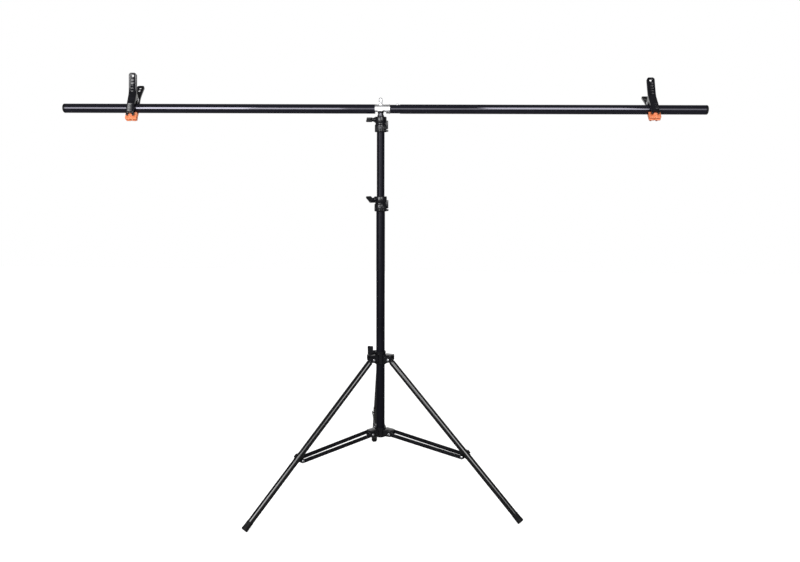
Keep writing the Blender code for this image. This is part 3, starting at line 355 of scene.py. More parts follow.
def new_finish(name, *settings):
    """A material with settings of its Principled shader, and the piece's Object coordinates."""
    material = bpy.data.materials.new(name)
    material.use_nodes = True
    tree = material.node_tree
    shader = tree.nodes["Principled BSDF"]
    for key, value in settings:
        shader.inputs[key].default_value = value
    coordinates = add_node(tree, "ShaderNodeTexCoord")
    return material, tree, shader, coordinates.outputs["Object"]


def mapped(tree, place, key, value):
    """Coordinates that are turned or scaled."""
    return add_node(tree, "ShaderNodeMapping", [(key, value)], [("Vector", place)]).outputs[0]


def noise(tree, place, scale, detail, *more):
    """A noise pattern over coordinates."""
    settings = [("Scale", scale), ("Detail", detail), *more]
    return add_node(tree, "ShaderNodeTexNoise", settings, [("Vector", place)]).outputs[0]


def weighted(tree, value, weight, other):
    """One value with a weight, added to another."""
    return add_node(tree, "ShaderNodeMath", [("operation", "MULTIPLY_ADD"), (1, weight)],
                    [(0, value), (2, other)]).outputs[0]


def spread(tree, factor, low, high, start=0.3, end=0.7):
    """Stretch a pattern's middle values to a range."""
    ranged = add_node(tree, "ShaderNodeMapRange", [(1, start), (2, end), (3, low), (4, high)],
                      [(0, factor)])
    return ranged.outputs[0]


def coat(tree, shader, roughness, pattern, colours, start=0.3, end=0.7):
    """Give a shader its roughness, and a colour that follows a pattern between two sRGB hex colours."""
    factor = spread(tree, pattern, 0.0, 1.0, start, end)
    mix = add_node(tree, "ShaderNodeMix",
                   [("data_type", "RGBA"), (6, srgb(colours[0])), (7, srgb(colours[1]))], [(0, factor)])
    tree.links.new(roughness, shader.inputs["Roughness"])
    tree.links.new(mix.outputs[2], shader.inputs["Base Color"])


def relief(tree, shader, height, strength, distance=0.0001):
    """Give a shader a shallow relief."""
    bump = add_node(tree, "ShaderNodeBump", [("Strength", strength), ("Distance", distance)],
                    [("Height", height)])
    tree.links.new(bump.outputs[0], shader.inputs["Normal"])


def coated_tube(name, along, colours, roughness, gloss=0.5, tint=(0.88, 0.86, 1.0, 1.0)):
    """Black coated aluminium tube. Drawing leaves faint lines along it, a hair apart, and handling
    leaves dull patches a few centimetres long, so its streak of light wavers a little. The lines are
    drawn 1.5 mm apart, coarser than the real ones, so that they show."""
    material, tree, shader, coordinates = new_finish(name, ("IOR", 1.7), ("Specular Tint", tint),
                                                     ("Specular IOR Level", gloss))
    lined = mapped(tree, coordinates, "Rotation", Vector(along).rotation_difference(UP).to_euler())
    lines = noise(tree, mapped(tree, lined, "Scale", (1, 1, 0.012)), 650.0, 2.0)
    patches = noise(tree, mapped(tree, lined, "Scale", (1, 1, 0.35)), 26.0, 4.0, ("Roughness", 0.6))
    mixed = weighted(tree, patches, 0.65, spread(tree, lines, 0.0, 0.2))
    coat(tree, shader, spread(tree, mixed, *roughness, 0.35, 0.75), patches, colours)
    relief(tree, shader, patches, 0.05, 0.0002)
    return material


def moulded_plastic(name, colours, roughness, grain, gloss):
    """Glass-filled nylon, injection moulded in an eroded tool: an even fine grain, with smoother worn
    places and faint flow marks that catch the light. The grain is drawn 0.6 or 0.8 mm across, coarser
    than the real one."""
    material, tree, shader, coordinates = new_finish(name, ("IOR", 1.5), ("Specular IOR Level", gloss))
    fine = noise(tree, coordinates, 0.5 / grain, 3.0, ("Roughness", 0.6))
    flow = noise(tree, coordinates, 90.0, 3.0, ("Distortion", 1.2))
    wear = weighted(tree, fine, 0.25, flow)
    coat(tree, shader, spread(tree, wear, roughness[1], roughness[0], 0.45, 0.8), flow, colours)
    relief(tree, shader, fine, 0.12)
    return material


def painted_steel():
    """Pressed steel strip in stove enamel: satin black, with the shallow ripple of sprayed paint, 2 mm
    across."""
    material, tree, shader, coordinates = new_finish("black_stove_enamel", ("Specular IOR Level", 0.25))
    ripple = noise(tree, coordinates, 480.0, 2.0)
    cloud = noise(tree, coordinates, 55.0, 3.0)
    coat(tree, shader, spread(tree, cloud, 0.24, 0.38), cloud, ("0B0B0E", "131317"))
    relief(tree, shader, ripple, 0.12)
    return material


def foot_rubber():
    """Moulded rubber: matt black with a patchy grey bloom of dust, and fine pores."""
    material, tree, shader, coordinates = new_finish("black_foot_rubber", ("Specular IOR Level", 0.25))
    pores = noise(tree, coordinates, 900.0, 4.0)
    bloom = noise(tree, coordinates, 120.0, 4.0)
    coat(tree, shader, spread(tree, pores, 0.55, 0.8), bloom, ("08080A", "121215"), 0.45, 0.8)
    relief(tree, shader, pores, 0.4, 0.00015)
    return material


def plated_metal(name, colours, roughness, ripple):
    """Plated metal: bright, with a soft haze where it was polished and a casting's slight
    unevenness."""
    material, tree, shader, coordinates = new_finish(name, ("Metallic", 1.0))
    haze = noise(tree, coordinates, 110.0, 4.0)
    skin = noise(tree, coordinates, 700.0, 2.0)
    coat(tree, shader, spread(tree, haze, *roughness), haze, colours, 0.45, 0.8)
    relief(tree, shader, skin, ripple)
    return material


def pad_plastic():
    """Soft orange vinyl: light passes a little way into it, and its moulded skin is finely grained and
    slightly uneven in colour."""
    material, tree, shader, coordinates = new_finish("orange_soft_vinyl", ("Subsurface Weight", 0.25),
                                                     ("Subsurface Radius", (0.004, 0.0016, 0.0008)),
                                                     ("Subsurface Scale", 1.0))
    grain = noise(tree, coordinates, 1100.0, 3.0)
    tint = noise(tree, coordinates, 70.0, 3.0)
    coat(tree, shader, spread(tree, grain, 0.34, 0.5), tint, ("D4774C", "DE8A64"))
    relief(tree, shader, grain, 0.08)
    return material


# Finishes of this stand

leg_down = [Vector((cos(azimuth) * sin(LEG_SPREAD), sin(azimuth) * sin(LEG_SPREAD), -cos(LEG_SPREAD)))
            for azimuth in LEG_AZIMUTHS]

BAR_TUBE = coated_tube("black_coated_tube_bar", ACROSS, ("0B0B11", "111118"), (0.06, 0.10))
COLUMN_TUBE = coated_tube("black_coated_tube_column", UP, ("0A0A0F", "101016"), (0.34, 0.44), 0.08)
LEG_TUBES = [coated_tube(f"black_coated_tube_leg_{number}", down, ("0A0A0B", "101012"), (0.03, 0.06), 0.4,
                         (1, 1, 1, 1)) for number, down in enumerate(leg_down, 1)]
NYLON = moulded_plastic("black_filled_nylon", ("0B0B0E", "141418"), (0.16, 0.30), 0.0006, 0.4)
LEVER_NYLON = moulded_plastic("black_lever_nylon", ("0C0C10", "15151A"), (0.12, 0.20), 0.0008, 0.45)
ENAMEL = painted_steel()
FOOT_RUBBER = foot_rubber()
BRIGHT_CASTING = plated_metal("bright_nickel_casting", ("F6F6F7", "E8E9EC"), (0.42, 0.55), 0.05)
ZINC = plated_metal("zinc_plated_steel", ("D2D3D6", "B9BBC0"), (0.22, 0.36), 0.2)
SPRING_STEEL = plated_metal("bright_spring_steel", ("C4C6CA", "8E9198"), (0.16, 0.3), 0.1)
ORANGE_VINYL = pad_plastic()
SPIGOT_STEEL = plated_metal("blackened_steel_spigot", ("4A4A4E", "2C2C30"), (0.25, 0.38), 0.1)


# Frames of the assemblies

STAND = shift(0, COLUMN.y, 0)
COLLAR = shift(0, COLUMN.y, PIVOT_HEIGHT)
HUB = shift(0, COLUMN.y, HUB_HEIGHT)
BAR = shift(0, COLUMN.y, BAR_HEIGHT)
STANDING = turn(pi / 2, "X")
ALONG_BAR = turn(pi / 2, "Y")
LYING = Matrix(((0, 0, 1, 0), (1, 0, 0, 0), (0, 1, 0, 0), (0, 0, 0, 1)))


def screw_frame(joint):
    """A frame at a joint, with Z along its axis and Y level."""
    axis = Vector(joint["axis"])
    level = UP.cross(axis).normalized()
    facing = Matrix((level.cross(axis), level, axis)).transposed().to_4x4()
    return Matrix.Translation(joint["pos_m"]) @ facing


# Column

def tube_rings(outer, bore, top, base, edge=0.0003):
    """Rings of a drawn tube with broken edges."""
    return [(outer - edge, top), (outer, top - edge), (outer, base + edge), (outer - edge, base),
            (bore + edge, base), (bore, base + edge), (bore, top - edge), (bore + edge, top)]


def make_column():
    """The three tubes of the column, each inside the one below."""
    for name, radius, top, base, body, node in (
            ("lower_column_tube", BOTTOM_RADIUS, BOTTOM_TOP, BOTTOM_BASE, "stand", "bottom_tube"),
            ("middle_column_tube", MIDDLE_RADIUS, MIDDLE_TOP, MIDDLE_BASE, "middle_section", "middle_tube"),
            ("upper_column_tube", UPPER_RADIUS, UPPER_TOP, UPPER_BASE, "upper_section", "upper_tube")):
        tube = turned(name, tube_rings(radius, radius - COLUMN_WALL, top, base))
        finish(moved(tube, STAND), COLUMN_TUBE, body, "black_tube", node)
    make_column_plug()
    make_spigot()


def make_column_plug():
    """The plug under the column: a ribbed shank and a domed lip with a hollow in it."""
    lip = BOTTOM_BASE - FIT
    bore = BOTTOM_RADIUS - COLUMN_WALL - FIT
    rings = [(0.0060, lip + 0.0040), (0.0064, lip - 0.0012), (0.0070, lip - 0.0020),
             (0.0120, lip - 0.0022), (0.0134, lip - 0.0017), (BOTTOM_RADIUS, lip - 0.0009),
             (BOTTOM_RADIUS, lip - 0.0002), (BOTTOM_RADIUS - 0.0002, lip), (bore, lip),
             (bore, lip + 0.0030), (bore - 0.0008, lip + 0.0036), (bore - 0.0008, lip + 0.0060),
             (bore, lip + 0.0066), (bore, lip + 0.0100), (bore - 0.0008, lip + 0.0106),
             (bore - 0.0008, lip + 0.0130), (bore, lip + 0.0136), (bore, lip + 0.0165),
             (bore - 0.0015, lip + 0.0180)]
    plug = turned("column_foot_plug", rings, 48)
    finish(moved(plug, STAND), NYLON, "stand", "black_plastic", "bottom_tube_plug")


def make_spigot():
    """The spigot: a plug in the tube, a shoulder, a waisted neck and a stud."""
    top = UPPER_TOP + FIT
    neck = BAR_HEIGHT - FITTING_BELOW - FIT
    bore = UPPER_RADIUS - COLUMN_WALL - FIT
    stud_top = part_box("spigot")[1].z
    rings = [(bore - 0.0006, top - 0.0250), (bore, top - 0.0244), (bore, top), (UPPER_RADIUS, top),
             (UPPER_RADIUS, top + 0.0022), (UPPER_RADIUS - 0.0006, top + 0.0028), (0.0090, top + 0.0030),
             (0.0086, top + 0.0036), (0.0086, neck - 0.0040), (0.0092, neck - 0.0032),
             (0.0095, neck - 0.0024), (0.0095, neck - 0.0004), (0.0091, neck), (0.0048, neck),
             (0.0048, stud_top - 0.0008), (0.0041, stud_top)]
    spigot = turned("spigot_and_stud", rings, 48)
    finish(moved(spigot, STAND), SPIGOT_STEEL, "upper_section", "black_steel", "spigot")


def make_column_clamp(name, tube_top, lower, upper, wall, knob, stands_at, body, prefix):
    """A moulded clamp: a fluted skirt on the lower tube, a waist, a split collar with a boss for the
    screw, a lug up its side, a tab at its base, and a round-headed rivet."""
    bore = lower + FIT
    outer = bore + wall
    grip = upper + FIT
    base = tube_top - CLAMP_BELOW
    top = tube_top + CLAMP_ABOVE
    waist = outer - 0.0023
    rings = [(bore + 0.0005, base), (outer - 0.0012, base), (outer - 0.0004, base + 0.0004),
             (outer, base + 0.0012), (outer, tube_top - 0.0072), (outer - 0.0004, tube_top - 0.0062),
             (waist, tube_top - 0.0040), (waist, tube_top - 0.0014), (outer - 0.0005, tube_top + 0.0006),
             (outer, tube_top + 0.0016), (outer, top - 0.0014), (outer - 0.0005, top - 0.0004),
             (outer - 0.0016, top), (grip + 0.0006, top), (grip, top - 0.0006), (grip, tube_top + FIT),
             (bore, tube_top + FIT), (bore, base + 0.0005)]
    clamp = turned(name, rings, 96, through=True)
    frame_here = screw_frame(joints[knob])
    to_clamp = STAND.inverted() @ frame_here
    reach = (to_clamp.translation - Vector((0, 0, to_clamp.translation.z))).length
    boss = turned("screw_boss", [(0.0062, grip + 0.0012 - reach), (0.0074, outer - reach - 0.0004),
                                 (0.0075, -0.0008), (0.0070, 0), (0.0056, 0), (0.0052, -0.0012)], 40)
    lug = block("back_lug", (0.0080, 0.0125, 0.0260), (outer + 0.0008, 0, tube_top - 0.0060), 0.0012)
    tab = block("base_tab", (0.0090, 0.0070, 0.0060), (outer + 0.0010, -0.0040, base + 0.0042), 0.0010)
    cut(clamp, [moved(boss, to_clamp), lug, tab], "UNION")
    bolt_hole = peg("screw_bore", 0.0033, 0.01, -0.02)
    side = to_clamp.to_3x3() @ Vector((0, 0, 1))
    split_angle = radians(130) + Vector((1, 0)).angle_signed(Vector((side.x, -side.y)))
    split = block("split", (outer * 2, 0.0022, CLAMP_ABOVE),
                  (outer, 0, tube_top + 0.0024 + CLAMP_ABOVE / 2))
    cuts = [moved(bolt_hole, to_clamp), moved(split, turn(split_angle, "Z"))]
    for index in range(18):
        angle = 2 * pi * index / 18
        flute = block("grip_flute", (0.0016, 0.0022, 0.0150), (outer + 0.0003, 0, base + 0.0105),
                      0.0004, 1)
        cuts.append(moved(flute, turn(angle + radians(3), "Z")))
    rivet_hole = peg("rivet_bore", 0.0023, 0, 2 * outer, 24)
    rivet_place = shift(0, 0, tube_top - 0.0165) @ turn(radians(268), "Z") @ turn(pi / 2, "Y")
    cuts.append(moved(rivet_hole, rivet_place))
    cut(clamp, cuts)
    finish(moved(clamp, STAND), NYLON, body, "black_plastic", prefix)
    seat = outer + FIT
    head = turned(name + "_rivet", [(0.0020, bore), (0.0020, seat), (0.0048, seat),
                                    (0.0048, seat + 0.0006), (0.0044, seat + 0.0013),
                                    (0.0036, seat + 0.0019), (0.0028, seat + 0.0022),
                                    (0.0020, seat + 0.0022), (0.0016, seat + 0.0017),
                                    (0.0013, seat + 0.0009)], 40)
    finish(moved(head, STAND @ rivet_place), SPIGOT_STEEL, body, "black_steel", prefix + "_rivet")
    make_wing_knob(name + "_knob", frame_here, 0.0330, grip - reach, knob, stands_at)


def make_wing_knob(name, place, span, tip, joint, stands_at):
    """A wing knob: a tapered, fluted hub, a straight two-winged bar with a slight saddle, and its
    screw. It stands turned from upright by an angle."""
    place = place @ turn(radians(stands_at), "Z")
    half = span / 2
    outline = rounded([(-half, 0.0042, 0.0030), (half, 0.0042, 0.0030), (half - 0.0004, 0.0236, 0.0040),
                       (0, 0.0228, 0.0040), (-half + 0.0004, 0.0236, 0.0040)])
    wings = plate("wings", outline, 0.0060)
    soften(wings, 0.0017, 3)
    hub = turned(name, [(0.0036, FIT), (0.0058, FIT), (0.0060, 0.0006), (0.0060, 0.0020),
                        (0.0055, 0.0026), (0.0050, 0.0104), (0.0044, 0.0110)], 48)
    cut(hub, [moved(wings, STANDING)], "UNION")
    flutes = []
    for angle in (45, 75, 105, 135, 225, 255, 285, 315):
        flute = peg("flute", 0.0007, 0.0028, 0.0150, 12)
        flutes.append(moved(flute, turn(radians(angle), "Z") @ shift(0.0058, 0, 0)))
    cut(hub, flutes)
    node = joint.replace("_turn", "")
    finish(moved(hub, place), NYLON, node, "black_plastic", node)
    screw = turned(name + "_screw", [(0.0022, tip), (0.0030, tip + 0.0008), (0.0030, FIT)], 24)
    finish(moved(screw, place), ZINC, node, "plated_steel", node)


# Tripod

def make_leg_collar():
    """The sliding collar: a sleeve with a lip, a forked ear for each leg, and a boss for its knob."""
    bore = BOTTOM_RADIUS + FIT
    outer = COLLAR_RADIUS
    rings = [(bore + 0.0005, -0.0165), (outer - 0.0010, -0.0165), (outer, -0.0155), (outer, -0.0128),
             (outer - 0.0005, -0.0122), (outer - 0.0005, 0.0182), (outer, 0.0188), (outer, 0.0238),
             (outer - 0.0012, 0.0250), (bore + 0.0005, 0.0250), (bore, 0.0245), (bore, -0.0160)]
    collar = turned("sliding_leg_collar", rings, 96, through=True)
    ear = ear_form()
    ears = [moved(copy_of(ear, "ear"), turn(azimuth, "Z")) for azimuth in LEG_AZIMUTHS]
    discard(ear)
    knob_frame = screw_frame(joints["leg_collar_knob_turn"])
    to_collar = COLLAR.inverted() @ knob_frame
    boss = turned("knob_boss", [(0.0055, -0.0085), (0.0078, -0.0060), (0.0070, -0.0048),
                                (0.0068, -0.0006), (0.0063, 0), (0.0052, 0), (0.0048, -0.0010)], 40)
    cut(collar, ears + [moved(boss, to_collar)], "UNION")
    hole = peg("knob_bore", 0.0033, 0.01, -0.02)
    inside = peg("collar_bore", bore, -0.05, 0.05, 96)
    cut(collar, [moved(hole, to_collar), inside])
    finish(moved(collar, COLLAR), NYLON, "leg_collar", "black_plastic", "leg_collar")
    make_wing_knob("collar_wing_knob", knob_frame, 0.0375, bore - 0.0235, "leg_collar_knob_turn", 0)
    for number, azimuth in enumerate(LEG_AZIMUTHS, 1):
        pin = headed_pin(f"leg_pivot_pin_{number}", 0.0137)
        place = COLLAR @ turn(azimuth, "Z") @ shift(PIVOT_RADIUS, 0, 0) @ STANDING
        finish(moved(pin, place), ZINC, "leg_collar", "bright_chrome", f"leg_pin_{number}")


def ear_form():
    """A forked ear, out along X: a box with a rounded roof, open below for the leg, and a lightened
    cheek."""
    start = COLLAR_RADIUS - 0.0020
    end = PIVOT_RADIUS + 0.0112
    side = rounded([(start, -0.0158, 0), (COLLAR_RADIUS + 0.004, -0.0158, 0.0010),
                    (PIVOT_RADIUS - 0.004, -0.0100, 0.0020), (PIVOT_RADIUS + 0.004, -0.0080, 0.0030),
                    (end, -0.0020, 0.0025), (end, 0.0160, 0.0035), (start, 0.0160, 0)])
    ear = moved(plate("ear_box", side, EAR_WIDTH, 0.0009), STANDING)
    slot = block("leg_slot", (0.05, 0.0178, 0.0412), (COLLAR_RADIUS + 0.0012 + 0.025, 0, -0.0086), 0.0012)
    window = moved(peg("window", 0.0040, -0.02, 0.02),
                   shift(COLLAR_RADIUS + 0.0043, 0, -0.0077) @ STANDING)
    pin_hole = moved(peg("pin_hole", PIN_HOLE, -0.02, 0.02), shift(PIVOT_RADIUS, 0, 0) @ STANDING)
    pockets = []
    for side_sign in (-1, 1):
        pocket = plate("pocket", rounded([(COLLAR_RADIUS + 0.0022, 0.0130, 0.0010),
                                          (COLLAR_RADIUS + 0.0022, 0.0062, 0.001),
                                          (PIVOT_RADIUS - 0.0040, 0.0062, 0.0015),
                                          (PIVOT_RADIUS, 0.0082, 0.0015),
                                          (PIVOT_RADIUS + 0.0040, 0.0062, 0.0015),
                                          (end - 0.0022, 0.0062, 0.001), (end - 0.0022, 0.0130, 0.0015)]),
                       0.0016, 0.0003)
        pockets.append(moved(pocket, shift(0, side_sign * EAR_WIDTH / 2, 0) @ STANDING))
    return cut(ear, [slot, window, pin_hole] + pockets)


def headed_pin(name, half, radius=0.0025, head=0.0046, height=0.0016):
    """A headed pin about Z, with domed heads and a small centre in each."""
    upper = [(radius, half), (head, half), (head, half + 0.4 * height),
             (head * 0.9, half + 0.75 * height), (head * 0.62, half + height),
             (head * 0.26, half + height), (head * 0.16, half + 0.6 * height)]
    lower = [(ring, -place) for ring, place in reversed(upper)]
    return turned(name, lower + upper, 32)


def make_legs():
    """Three tubes, each hung from the collar with its knuckle, foot and bracket."""
    for number, azimuth in enumerate(LEG_AZIMUTHS, 1):
        place = COLLAR @ turn(azimuth, "Z") @ shift(PIVOT_RADIUS, 0, 0) @ turn(-LEG_SPREAD, "Y")
        body = f"leg_{number}"
        rings = tube_rings(LEG_RADIUS, LEG_RADIUS - LEG_WALL, -0.0150, -0.6415)
        tube = turned(f"leg_tube_{number}", rings, 48, through=True)
        finish(moved(tube, place), LEG_TUBES[number - 1], body, "black_tube", f"leg_{number}")
        finish(moved(knuckle_form(number), place), NYLON, body, "black_plastic", f"leg_knuckle_{number}")
        make_foot(number, place, body)
        make_bracket(number, place, body)


def knuckle_form(number):
    """The leg's top end: an eye on the pin, a webbed neck, a collar on the tube and a plug in it."""
    rings = [(0.0034, -EYE_HALF), (0.0088, -EYE_HALF), (0.0095, -0.0079), (0.0095, 0.0079),
             (0.0088, EYE_HALF), (0.0034, EYE_HALF)]
    eye = moved(turned(f"leg_eye_{number}", rings, 48), STANDING)
    neck = turned("neck", [(0.0070, -0.0034), (0.0084, -0.0050), (0.0084, -0.0104),
                           (LEG_RADIUS - 0.0003, -0.0118), (LEG_RADIUS, -0.0124), (LEG_RADIUS, -0.0144),
                           (LEG_RADIUS - 0.0004, -0.0147), (0.0084, -0.0147), (0.0084, -0.0400),
                           (0.0078, -0.0410)], 48)
    cut(eye, [neck], "UNION")
    bore = moved(peg("eye_bore", PIN_HOLE, -0.02, 0.02), STANDING)
    hollows = [moved(turned("eye_hollow", [(0.0064, 0.0074), (0.0068, 0.0100)], 40), STANDING),
               moved(turned("eye_hollow", [(0.0064, -0.0074), (0.0068, -0.0100)], 40), STANDING)]
    hub = moved(peg("eye_hub", 0.0044, -EYE_HALF, EYE_HALF), STANDING)
    cut(eye, hollows)
    cut(eye, [hub], "UNION")
    return cut(eye, [bore])


def make_foot(number, place, body):
    """A rubber foot: a thin ribbed boot with a slightly thicker sole, worn flat where it stands."""
    outer = LEG_RADIUS + FIT + FOOT_WALL
    end = -LEG_LENGTH
    rings = [(LEG_RADIUS + FIT, end + 0.0300), (outer - 0.0002, end + 0.0300), (outer, end + 0.0297)]
    for ridge in range(5):
        top = end + 0.0272 - 0.0034 * ridge
        rings += [(outer, top), (outer - 0.0003, top - 0.0003), (outer - 0.0003, top - 0.0015),
                  (outer, top - 0.0018)]
    rings += [(outer, end + 0.0100), (outer + 0.0003, end + 0.0090), (outer + 0.0003, end + 0.0014),
              (outer, end + 0.0004), (outer - 0.0010, end), (0.0050, end), (0.0044, end + 0.0010)]
    foot = moved(turned(f"rubber_foot_{number}", rings, 64), place)
    deselect_all()
    foot.select_set(True)
    bpy.context.view_layer.objects.active = foot
    bpy.ops.object.mode_set(mode="EDIT")
    bpy.ops.mesh.select_mode(type="VERT")
    bpy.ops.mesh.select_all(action="SELECT")
    bpy.ops.mesh.bisect(plane_co=(0, 0, 0), plane_no=(0, 0, 1), use_fill=True, clear_inner=True)
    bpy.ops.object.mode_set(mode="OBJECT")
    finish(foot, FOOT_RUBBER, body, "black_rubber", f"foot_{number}")


def make_bracket(number, place, body):
    """The brace bracket: a thin band round the leg with a folded seam, two cheeks, and the pivot's
    stub."""
    inner = LEG_RADIUS + FIT
    outer = inner + BRACKET_WALL
    middle = -BRACKET_DOWN
    rings = [(outer - 0.0003, middle + 0.0110), (outer, middle + 0.0107), (outer, middle - 0.0107),
             (outer - 0.0003, middle - 0.0110)]
    band = turned(f"brace_bracket_{number}", rings, 64)
    outline = rounded([(-0.0035, middle + 0.0078, 0), (-0.0150, middle + 0.0078, 0.0030),
                       (-0.0180, middle + 0.0045, 0.0025), (-0.0180, middle - 0.0045, 0.0025),
                       (-0.0150, middle - 0.0078, 0.0030), (-0.0035, middle - 0.0078, 0)])
    cheeks = [moved(plate("cheek", outline, CHEEK_THICKNESS), shift(0, side * 0.0078, 0) @ STANDING)
              for side in (-1, 1)]
    spine = block("spine", (0.0050, 0.0150, 0.0130), (-0.0122, 0, middle), 0.0006)
    stub = moved(peg("stub", 0.0025, -0.01245, 0.01245, 24), shift(-BRACKET_IN, 0, middle) @ STANDING)
    seam = block("folded_seam", (0.0060, 0.0070, 0.0130), (0.0122, 0, middle), 0.0010)
    cut(band, cheeks + [spine, stub, seam], "UNION")
    bore = peg("leg_bore", inner, -0.30, -0.45, 64)
    cut(band, [bore])
    finish(moved(band, place), LEG_TUBES[number - 1], body, "black_steel", f"leg_bracket_{number}")


def make_hub():
    """The fixed hub: a sleeve with a pair of lug plates for each brace, roofed over, and a window under
    each."""
    bore = BOTTOM_RADIUS + FIT
    rings = [(bore + 0.0004, -0.0165), (HUB_RADIUS - 0.0010, -0.0165), (HUB_RADIUS, -0.0155),
             (HUB_RADIUS, 0.0138), (HUB_RADIUS - 0.0012, 0.0150), (bore + 0.0004, 0.0150), (bore, 0.0146),
             (bore, -0.0161)]
    hub = turned("fixed_brace_hub", rings, 96, through=True)
    lug = lug_form()
    lugs = [moved(copy_of(lug, "lug"), turn(azimuth, "Z")) for azimuth in LEG_AZIMUTHS]
    discard(lug)
    cut(hub, lugs, "UNION")
    inside = peg("hub_bore", bore, -0.05, 0.05, 96)
    cut(hub, [inside])
    finish(moved(hub, HUB), NYLON, "stand", "black_plastic", "lower_hub")
    for number, azimuth in enumerate(LEG_AZIMUTHS, 1):
        pin = headed_pin(f"hub_pivot_pin_{number}", 0.0184)
        place = HUB @ turn(azimuth, "Z") @ shift(HUB_PIVOT_RADIUS, 0, 0) @ STANDING
        finish(moved(pin, place), ZINC, "stand", "bright_chrome", f"hub_pin_{number}")


def lug_form():
    """A brace lug, out along X: two cheeks 5 mm thick under a roof, with a round window near the
    sleeve."""
    start = HUB_RADIUS - 0.0025
    end = HUB_PIVOT_RADIUS + 0.0065
    side = rounded([(start, -0.0105, 0), (end, -0.0105, 0.0055), (end, 0.0090, 0.0055),
                    (HUB_RADIUS + 0.004, 0.0110, 0.0030), (start, 0.0110, 0)])
    lug = moved(plate("lug_box", side, HUB_LUG_WIDTH, 0.0010), STANDING)
    slot = block("brace_slot", (0.05, 0.0210, 0.0210), (HUB_RADIUS + 0.0012 + 0.025, 0, -0.0050), 0.0010)
    window = moved(peg("window", 0.0036, -0.02, 0.02), shift(HUB_RADIUS + 0.0060, 0, -0.0049) @ STANDING)
    pin_hole = moved(peg("pin_hole", PIN_HOLE, -0.02, 0.02), shift(HUB_PIVOT_RADIUS, 0, 0) @ STANDING)
    return cut(lug, [slot, window, pin_hole])


def make_braces():
    """Three pairs of flat strips with full round ends, eased edges and a rivet in each outer end."""
    hub_side = HUB_LUG_WIDTH / 2 + FIT
    leg_side = LEG_RADIUS + FIT + BRACKET_ROOM + 2 * FIT
    toe_in = (hub_side - leg_side) / BRACE_LENGTH
    ends = [(-STRIP_HALF * sin(angle), STRIP_HALF * cos(angle))
            for angle in (pi * step / 12 for step in range(13))]
    outline = ends + [(BRACE_LENGTH - x, -y) for x, y in ends]
    for number, azimuth in enumerate(LEG_AZIMUTHS, 1):
        place = HUB @ turn(azimuth, "Z") @ shift(HUB_PIVOT_RADIUS, 0, 0) @ turn(-BRACE_PITCH, "Y")
        for side, label in ((1, "a"), (-1, "b")):
            strip = plate(f"brace_strip_{number}{label}", outline, STRIP_THICKNESS, 0.0004)
            hole = peg("hole", 0.0031, -0.01, 0.01, 24)
            cut(strip, [hole])
            aside = side * (hub_side + FIT + STRIP_THICKNESS / 2)
            lying = shift(0, aside, 0) @ turn(-side * toe_in, "Z") @ STANDING
            finish(moved(strip, place @ lying), ENAMEL, f"brace_{number}", "black_steel",
                   f"brace_{number}{label}")
            face = side * -STRIP_THICKNESS / 2
            rivet = turned(f"brace_rivet_{number}{label}", [(0.0025, -face * 0.9), (0.0025, face),
                                                            (0.0046, face), (0.0046, face * 1.5),
                                                            (0.0040, face * 2.1), (0.0026, face * 2.5),
                                                            (0.0010, face * 2.6)], 32)
            finish(moved(rivet, place @ lying @ shift(BRACE_LENGTH, 0, 0)), ZINC, f"brace_{number}",
                   "plated_steel")


# Crossbar

def make_fitting():
    """The T-fitting: a bored cross-piece with a stub each side, beaded ends, and a round foot on a
    washer."""
    stub = BAR_RADIUS - BAR_WALL - FIT
    inner_stub = stub - SLEEVE_WALL - FIT
    bore = inner_stub - 0.0022
    rings = [(stub - 0.0008, -0.0923), (stub, -0.0915), (stub, -FITTING_LEFT),
             (BAR_RADIUS - 0.0006, -FITTING_LEFT), (BAR_RADIUS, -0.0167), (BAR_RADIUS, -0.0136),
             (BAR_RADIUS - 0.0007, -0.0128), (BAR_RADIUS - 0.0007, 0.0248), (BAR_RADIUS, 0.0256),
             (BAR_RADIUS, 0.0287), (BAR_RADIUS - 0.0006, FITTING_RIGHT), (inner_stub, FITTING_RIGHT),
             (inner_stub, 0.1035), (inner_stub - 0.0008, 0.1043)]
    fitting = moved(turned("t_piece", rings, 96), ALONG_BAR)
    left_bore = turned("left_bore", [(bore - 0.0010, -0.0130), (bore, -0.0140), (bore, -0.1000)], 64)
    right_bore = turned("right_bore", [(bore - 0.0010, 0.0130), (bore, 0.0140), (bore, 0.1100)], 64)
    under = block("underside", (0.0341, 0.06, 0.0200), (0.00015, 0, -0.0062 - 0.0100))
    cut(fitting, [moved(left_bore, ALONG_BAR), moved(right_bore, ALONG_BAR), under])
    foot = turned("t_foot", [(0.0090, -0.0005), (0.0132, -0.0014), (0.0158, -0.0034), (0.0165, -0.0042),
                             (0.0165, -0.0062), (0.0160, -0.0066), (0.0060, -0.0066)], 64)
    seat = turned("nut_seat", [(0.0076, 0.0100), (0.0080, 0.0139)], 48)
    cut(fitting, [foot, seat], "UNION")
    stud_hole = peg("stud_bore", 0.0051, -0.03, 0.03)
    button_hole = moved(peg("button_bore", 0.0046, 0.0, 0.03), shift(BUTTON_PLACE, 0, 0))
    cut(fitting, [stud_hole, button_hole])
    finish(moved(fitting, BAR), BRIGHT_CASTING, "t_fitting", "bright_chrome", "t_fitting")
    rings = [(0.0051, -FITTING_BELOW), (0.0158, -FITTING_BELOW), (0.0163, -0.0078), (0.0163, -0.0070),
             (0.0160, -0.0067), (0.0051, -0.0067)]
    washer = turned("t_piece_washer", rings, 64, through=True)
    finish(moved(washer, BAR), NYLON, "t_fitting", "black_plastic", "t_fitting")
    make_cap_nut()
    make_sleeve(stub)


